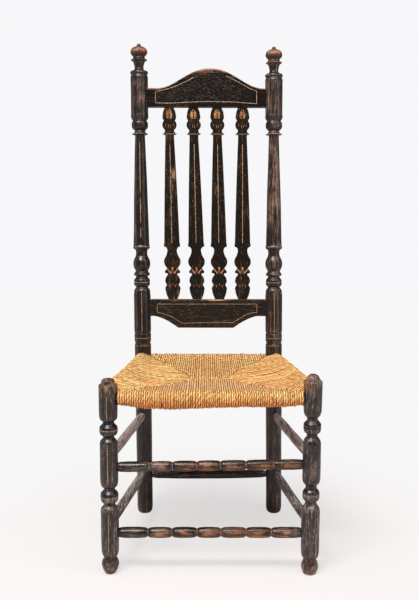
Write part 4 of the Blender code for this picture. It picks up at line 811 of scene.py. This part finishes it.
def field(rail, seam, outward, seed, pinch=((0, 0), (1, 0)), hang=((0, 0), (1, 0)), dip=2.4,
          shaded=((0, 0), (1, 0))):
    """One field of cords as rings, each ring a closed loop along a cord: (line, point, xyz).

    Eight lines run along each cord, spaced on the rail and square across from it on the seam.
    A loop goes from the seam over the top, half way round the rail, back under the seat to the
    seam, and up inside. The field dips by `dip` mm at the seam. The roll stands out less by
    `pinch` mm and hangs lower by `hang` mm, and the seam gets painted shade as strong as
    `shaded`, all three read off pairs along the rail, whose length is 1. Cords are half circles
    side by side, each a little thick, thin or limp by its own random waves.

    Returns the rings, and for each point the cord's number, its place across the cord from -1
    to 1 and its way from the rail in metres, then its painted seam shade, then that way in mm.
    """
    draw = np.random.default_rng(seed)
    rail, seam = np.array(rail, float), np.array(seam, float)
    cords = int(round(np.hypot(*(rail[1] - rail[0])) / CORD_PITCH))
    widths = np.clip(draw.normal(1, 0.15, cords), 0.6, 1.5)
    edges = np.concatenate([[0], np.cumsum(widths)]) / widths.sum()
    slices = np.array([0.02, 0.13, 0.27, 0.42, 0.58, 0.73, 0.87, 0.98])
    cord = np.repeat(np.arange(cords), len(slices))
    within = np.tile(slices, cords)
    share = edges[cord] + (edges[cord + 1] - edges[cord]) * within

    def read_off(pairs):
        return np.interp(share, *np.array(pairs, float).T)[:, None]

    at_rail = rail[0] + (rail[1] - rail[0]) * share[:, None]
    run = (seam - seam[0]) @ (rail[1] - rail[0])
    at_seam = np.stack([np.interp(share, run / run[-1], seam[:, k]) for k in (0, 1)], axis=1)
    inward = at_rail - at_seam
    reach = np.maximum(np.hypot(*inward.T), 1e-6)
    short = np.clip(draw.normal(1.2, 0.9, cords), 0, 3)[cord] * (reach > 14)
    at_seam = at_seam + inward / reach[:, None] * short[:, None]
    outward = np.array(outward, float) / np.hypot(*outward)
    tops, arc, under, inner = 54, 20, 32, 3

    def between(step):
        place = at_seam[:, :, None] + (at_rail - at_seam)[:, :, None] * step
        return place[:, 0], place[:, 1], np.abs(step) * reach[:, None]

    x, y, gone = between(np.linspace(0, 1, tops) ** 0.9)
    middle, half = weave(x, y)
    top = np.stack([x, y, middle + half - dip * hump(gone, 0, 4) - 1.4 * hump(gone, 0, 12)], axis=-1)
    shade = read_off(shaded) * hump(gone, 0, 4.5)
    turn = np.linspace(0, np.pi, arc + 2)[1:-1]
    axis, _ = weave(at_rail[:, :1], at_rail[:, 1:])
    low = read_off(hang)
    swell = (ROLL_RADIUS - read_off(pinch)) * (1 + 0.045 * draw.normal(0, 1, cords)[cord])[:, None]
    around = np.stack([at_rail[:, :1] + outward[0] * swell * np.sin(turn),
                       at_rail[:, 1:] + outward[1] * swell * np.sin(turn),
                       axis + ROLL_RADIUS * np.cos(turn) - low * np.clip(-np.cos(turn), 0, 1) ** 0.8], axis=-1)
    x, y, gone = between(np.linspace(1, 0, under))
    middle, half = weave(x, y)
    lift = 3.5 * hump(gone, 0, 5) - low * hump(gone, reach[:, None], 22)
    bottom = np.stack([x, y, middle - half + lift], axis=-1)
    step = np.linspace(0, 1, inner + 2)[1:-1][None, :, None]
    base = np.concatenate([top, around, bottom, bottom[:, -1:] + (top[:, :1] - bottom[:, -1:]) * step], axis=1)
    ahead = np.roll(base, -1, axis=1) - np.roll(base, 1, axis=1)
    normal = np.cross(ahead, np.gradient(base, axis=0))
    normal = normal / np.maximum(np.linalg.norm(normal, axis=-1, keepdims=True), 1e-9)
    normal = normal * np.sign(np.sum(normal[:, tops + arc // 2] * np.array([*outward, 0])))
    along = np.cumsum(np.linalg.norm(np.diff(base, axis=1, prepend=base[:, :1]), axis=-1), axis=1)
    way = along - along[:, tops:tops + 1]
    across = 2 * within - 1
    ridge = np.sqrt(1 - across ** 2)[:, None]
    tall = np.clip(draw.normal(0, 0.45, cords), -0.9, 0.9)[cord][:, None]
    limp = sum(draw.normal(0, 0.28, cords)[cord][:, None] * np.cos(
        way / draw.uniform(7, 40) + draw.uniform(0, 6, cords)[cord][:, None]) for _ in range(4))
    push = -2.5 * (1 - ridge) + (tall + limp) * ridge
    push[:, tops + arc + under:] = 0
    marks = np.stack([(cord + seed * 97.0)[:, None] + 0 * way, across[:, None] + 0 * way, way * MM], axis=-1)
    shade = np.pad(shade, ((0, 0), (0, way.shape[1] - tops)))
    return (base + normal * push[..., None]) * MM, marks, shade, way


def rush(name, base, twist):
    """Dried cattail rush: satin straw of a base colour, lighter or more orange from cord to cord.

    A random tone for each cord and fibres along its twist move the colour between tan, straw
    and pale straw, and the seat has patches of it. It is orange low on the rolls, where light
    has not bleached it, and that orange is bright enough to lift the shade under the rolls as
    painted light. It is pinkish where the seat is worn. Painted shade darkens it between the
    cords, at the seams, and in the groove between the two strands of a cord, which comes round
    every 15 mm, and a painted highlight lightens the crown of each strand. These painted
    highlights and shade of the twist, and the cords' light and dark spots and fibres, are as
    strong as `twist`.
    """
    finish, tree, shader, place = surface(name)

    def share_of(amount, low, high, most=1.0):
        return ramp(tree, amount, low, high, 0.0, most)

    def drawn_out(*scaled):
        """A place for noise: each amount times its scale."""
        return node(tree, "ShaderNodeCombineXYZ", dict(enumerate(
            maths(tree, "MULTIPLY", amount, scale) for amount, scale in scaled))).outputs[0]

    cord, across, along = node(tree, "ShaderNodeSeparateXYZ", {0: node(
        tree, "ShaderNodeAttribute", {}, attribute_name="cord").outputs["Vector"]}).outputs
    height = node(tree, "ShaderNodeSeparateXYZ", {0: place}).outputs[2]
    chance = node(tree, "ShaderNodeTexWhiteNoise", {"W": cord}, noise_dimensions="1D").outputs["Value"]
    helix = maths(tree, "MULTIPLY_ADD", across, 0.24, maths(tree, "MULTIPLY_ADD", along, 33.0, chance))
    ply = maths(tree, "ABSOLUTE", maths(tree, "COSINE", maths(tree, "MULTIPLY", helix, 2 * math.pi)))
    fibres = noise(tree, drawn_out((cord, 3.7), (helix, 7.0), (along, 38.0)), 1.0, 4, 0.7)
    blotch = noise(tree, drawn_out((cord, 1.0), (along, 38.0)), 1.3, 2)
    spots = noise(tree, drawn_out((cord, 1.37), (along, 120.0)), 1.0, 2, 0.6)
    tones = noise(tree, drawn_out((cord, 0.42), (along, 9.0)), 1.0, 2, 0.6)
    patches = noise(tree, place, 17, 3, 0.6)
    worn = maths(tree, "MULTIPLY", mark(tree, "faded"), share_of(blotch, 0.35, 0.6, 0.9))
    # Painted shade between the cords, broken by spots.
    painted_valley_shade = maths(tree, "SUBTRACT", maths(tree, "ABSOLUTE", across), maths(tree, "MULTIPLY", spots, 0.5))
    # Painted shade along the seams, from each field's shade mark, broken by fibres.
    seam = maths(tree, "MULTIPLY_ADD", fibres, -1.2, mark(tree, "shade"))
    colour = linear(base)
    for share, code in (
            (share_of(patches, 0.52, 0.66, 0.7), "#e5b452"), (share_of(patches, 0.47, 0.36, 0.8), "#df8734"),
            (share_of(tones, 0.52, 0.64, 0.8), "#f0c878"), (share_of(tones, 0.48, 0.36, 0.8), "#cd7b2e"),
            (share_of(blotch, 0.55, 0.68, 0.5), "#f3c97e"), (share_of(blotch, 0.45, 0.32, 0.5), "#c2752b"),
            (share_of(chance, 0.55, 1.0, 0.6), "#c98031"), (worn, "#e8ac8b"),
            # Orange low on the rolls, bright enough to lift the shade under them as painted light.
            (share_of(height, 0.394, 0.373, 0.95), "#f68a2c"),
            # Painted highlight on the crown of each strand of the twist.
            (share_of(ply, 0.70, 1.0, 0.55 * twist), "#fbdc9a"),
            (share_of(spots, 0.54, 0.66, 0.45 * twist), "#fbe0a4"),
            (share_of(fibres, 0.54, 0.68, 0.35 + 0.25 * twist), "#fadb97"),
            (share_of(spots, 0.44, 0.32, 0.5 * twist), "#93541d"),
            (share_of(fibres, 0.46, 0.32, 0.4 + 0.3 * twist), "#97571c"),
            # Painted shade in the groove between the two strands of a cord.
            (share_of(ply, 0.46, 0.08, 0.68 * twist), "#7c4217"),
            # Painted shade between the cords and along the seams.
            (share_of(painted_valley_shade, 0.20, 0.62, 0.95), "#5a2d0d"), (share_of(seam, 0.06, 0.3, 0.8), "#54290f")):
        colour = cover(tree, share, colour, code)
    relief = maths(tree, "MULTIPLY_ADD", share_of(ply, 0.0, 0.7), 0.8, fibres)
    feed(shader, {"Base Color": colour, "Roughness": 0.62, "Normal": bump(tree, 0.9, 0.0014, relief)})
    return finish


LEFT_APEX, RIGHT_APEX = np.array([-33.0, LEG_LINE + 155]), np.array([33.0, LEG_LINE + 163])
LEFT_BEND, RIGHT_BEND = np.array([-71.5, LEG_LINE + 240]), np.array([70.0, LEG_LINE + 245])
FRONT_LEFT, FRONT_RIGHT = np.array([-192.6, LEG_LINE - 3]), np.array([192.6, LEG_LINE - 3])
REAR_LEFT, REAR_RIGHT = CORNERS["rear_left"] + [15.0, 1.0], CORNERS["rear_right"] + [-15.0, 1.0]
left_way, right_way = (CORNERS["rear_" + side] - CORNERS["front_" + side] for side in ("left", "right"))
left_way, right_way = left_way / np.hypot(*left_way), right_way / np.hypot(*right_way)
straw = {"front": rush("twisted_cattail_rush", "#dfa048", 0.82),
         "rear": rush("orange_cattail_rush", "#ea9a40", 1.3),
         "left": rush("pale_cattail_rush", "#d2ae5c", 0.52),
         "right": rush("smooth_cattail_rush", "#d69a46", 0.42)}
fields = {
    "front": field([(-192.8, LEG_LINE), (192.8, LEG_LINE)],
                   [FRONT_LEFT, LEFT_APEX, RIGHT_APEX, FRONT_RIGHT], (0, -1), 1,
                   hang=((0, -5), (0.06, -1), (0.14, 3.5), (0.3, 6), (0.42, 3.5), (0.55, 2), (0.68, 0),
                         (0.9, 0), (1, -4)),
                   shaded=((0, 0.9), (0.42, 0.8), (0.56, 0.45), (0.7, 0.2), (1, 0.1))),
    "rear": field([CORNERS["rear_left"] + [21.5, 0], CORNERS["rear_right"] + [-21.5, 0]],
                  [REAR_LEFT, LEFT_BEND, LEFT_APEX, RIGHT_APEX, RIGHT_BEND, REAR_RIGHT], (0, 1), 2, dip=3.0,
                  shaded=((0, 0.8), (1, 0.7))),
    "left": field([CORNERS["front_left"] + left_way * 20.5, CORNERS["rear_left"] - left_way * 21.5],
                  [FRONT_LEFT, LEFT_APEX, LEFT_BEND, REAR_LEFT], (-left_way[1], left_way[0]), 3,
                  pinch=((0, -1), (0.2, 3), (0.5, 6), (0.8, 4), (1, 1)),
                  shaded=((0, 0.8), (0.45, 0.7), (0.5, 0.2), (1, 0.2))),
    "right": field([CORNERS["front_right"] + right_way * 20.5, CORNERS["rear_right"] - right_way * 21.5],
                   [FRONT_RIGHT, RIGHT_APEX, RIGHT_BEND, REAR_RIGHT], (right_way[1], -right_way[0]), 4)}
for side, (rings, cord, shade, way) in fields.items():
    faded = {"front": slope(-way, 14, 38), "rear": np.clip((way + 36) / 22, 0, 1.5)}.get(side, 0.15 + 0 * way)
    skin("rush_field_" + side, [rings], straw[side], "rush", ["rush_seat", "seat_stuffing"], cord=cord,
         faded=faded, shade=shade)

# Floor, light and camera
# A pale studio floor without a horizon, two softboxes high in front, two white walls at the
# sides that the glossy paint mirrors as upright streaks, and the photograph's view.
STUDIO_WHITE = "#f7f7f9"
paper, tree, shader, place = surface("matt_white_floor_paper")
feed(shader, {"Base Color": linear("#ddd3d0"), "Roughness": 0.9, "Specular IOR Level": 0.0})
# The camera sees the paper under the chair with two thirds of a white glow mixed in, which
# lightens the chair's shadow there as painted light, and only the glow farther off.
away = node(tree, "ShaderNodeVectorMath", {0: place, 1: (0.04, -0.10, 0.0)},
            operation="DISTANCE").outputs["Value"]
seen = node(tree, "ShaderNodeLightPath", {}).outputs["Is Camera Ray"]
plain = maths(tree, "MULTIPLY", ramp(tree, away, 0.22, 0.85, 0.66, 1.0), seen)
white = node(tree, "ShaderNodeEmission", {"Color": linear("#f8f7f7")}).outputs[0]
mixed = node(tree, "ShaderNodeMixShader", {0: plain, 1: shader.outputs[0], 2: white})
feed(tree.nodes["Material Output"], {"Surface": mixed.outputs[0]})
floor_mesh = bpy.data.meshes.new("studio_floor")
floor_mesh.from_pydata([(-6, -4, 0), (6, -4, 0), (6, 5, 0), (-6, 5, 0)], [], [(0, 1, 2, 3)])
floor_mesh.materials.append(paper)
floor = shown("studio_floor", floor_mesh)
floor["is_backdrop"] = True

world = bpy.data.worlds.new("white_room")
bpy.context.scene.world = world
world.use_nodes = True
tree = world.node_tree
seen = node(tree, "ShaderNodeLightPath", {}).outputs["Is Camera Ray"]
room = node(tree, "ShaderNodeBackground", {"Color": (1.0, 1.0, 1.0, 1.0), "Strength": 0.23}).outputs[0]
white = node(tree, "ShaderNodeBackground", {"Color": linear(STUDIO_WHITE), "Strength": 1.0}).outputs[0]
mixed = node(tree, "ShaderNodeMixShader", {0: seen, 1: room, 2: white})
feed(tree.nodes["World Output"], {"Surface": mixed.outputs[0]})
# Each lamp: the turn from the camera's side to the right, the lift in degrees, distance, sizes, watts.
for name, azimuth, lift, distance, wide, tall, power in (
        ("left_softbox", -24, 52, 2.6, 1.3, 0.5, 78), ("right_softbox", 50, 46, 2.6, 1.2, 1.2, 16),
        ("overhead_softbox", -20, 70, 3.0, 2.6, 2.6, 34), ("left_wall", -97, 8, 2.2, 0.8, 2.2, 7),
        ("right_wall", 62, 8, 2.4, 0.5, 2.2, 11)):
    turn, rise = math.radians(azimuth), math.radians(lift)
    way = Vector((math.sin(turn) * math.cos(rise), -math.cos(turn) * math.cos(rise), math.sin(rise)))
    lamp = bpy.data.lights.new(name, "AREA")
    lamp.shape = "RECTANGLE"
    lamp.size, lamp.size_y = wide, tall
    lamp.energy = power
    held = shown(name, lamp)
    held.location = Vector((0, 0, 0.55)) + way * distance
    held.rotation_mode = "QUATERNION"
    held.rotation_quaternion = (-way).to_track_quat("-Z", "Y")

camera = shown("camera", bpy.data.cameras.new("camera"))
camera.data.sensor_width = 36.0
camera.data.lens = 46.74
CAMERA_PLACE = (-0.0097, LEG_LINE * MM - 1.5816, 0.798)
pitch, yaw, roll = math.radians(7.49), math.radians(0.254), math.radians(0.141)
ahead = Vector((math.sin(yaw) * math.cos(pitch), math.cos(yaw) * math.cos(pitch), -math.sin(pitch)))
right = Vector((math.cos(yaw), -math.sin(yaw), 0))
over = right.cross(ahead)
right, over = right * math.cos(roll) + over * math.sin(roll), over * math.cos(roll) - right * math.sin(roll)
turn = np.array([right, over, -ahead]).T
camera.matrix_world = Matrix.Translation(CAMERA_PLACE) @ Matrix(turn.tolist()).to_4x4()
bpy.context.scene.camera = camera
bpy.context.scene.view_settings.view_transform = "Standard"

low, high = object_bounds()
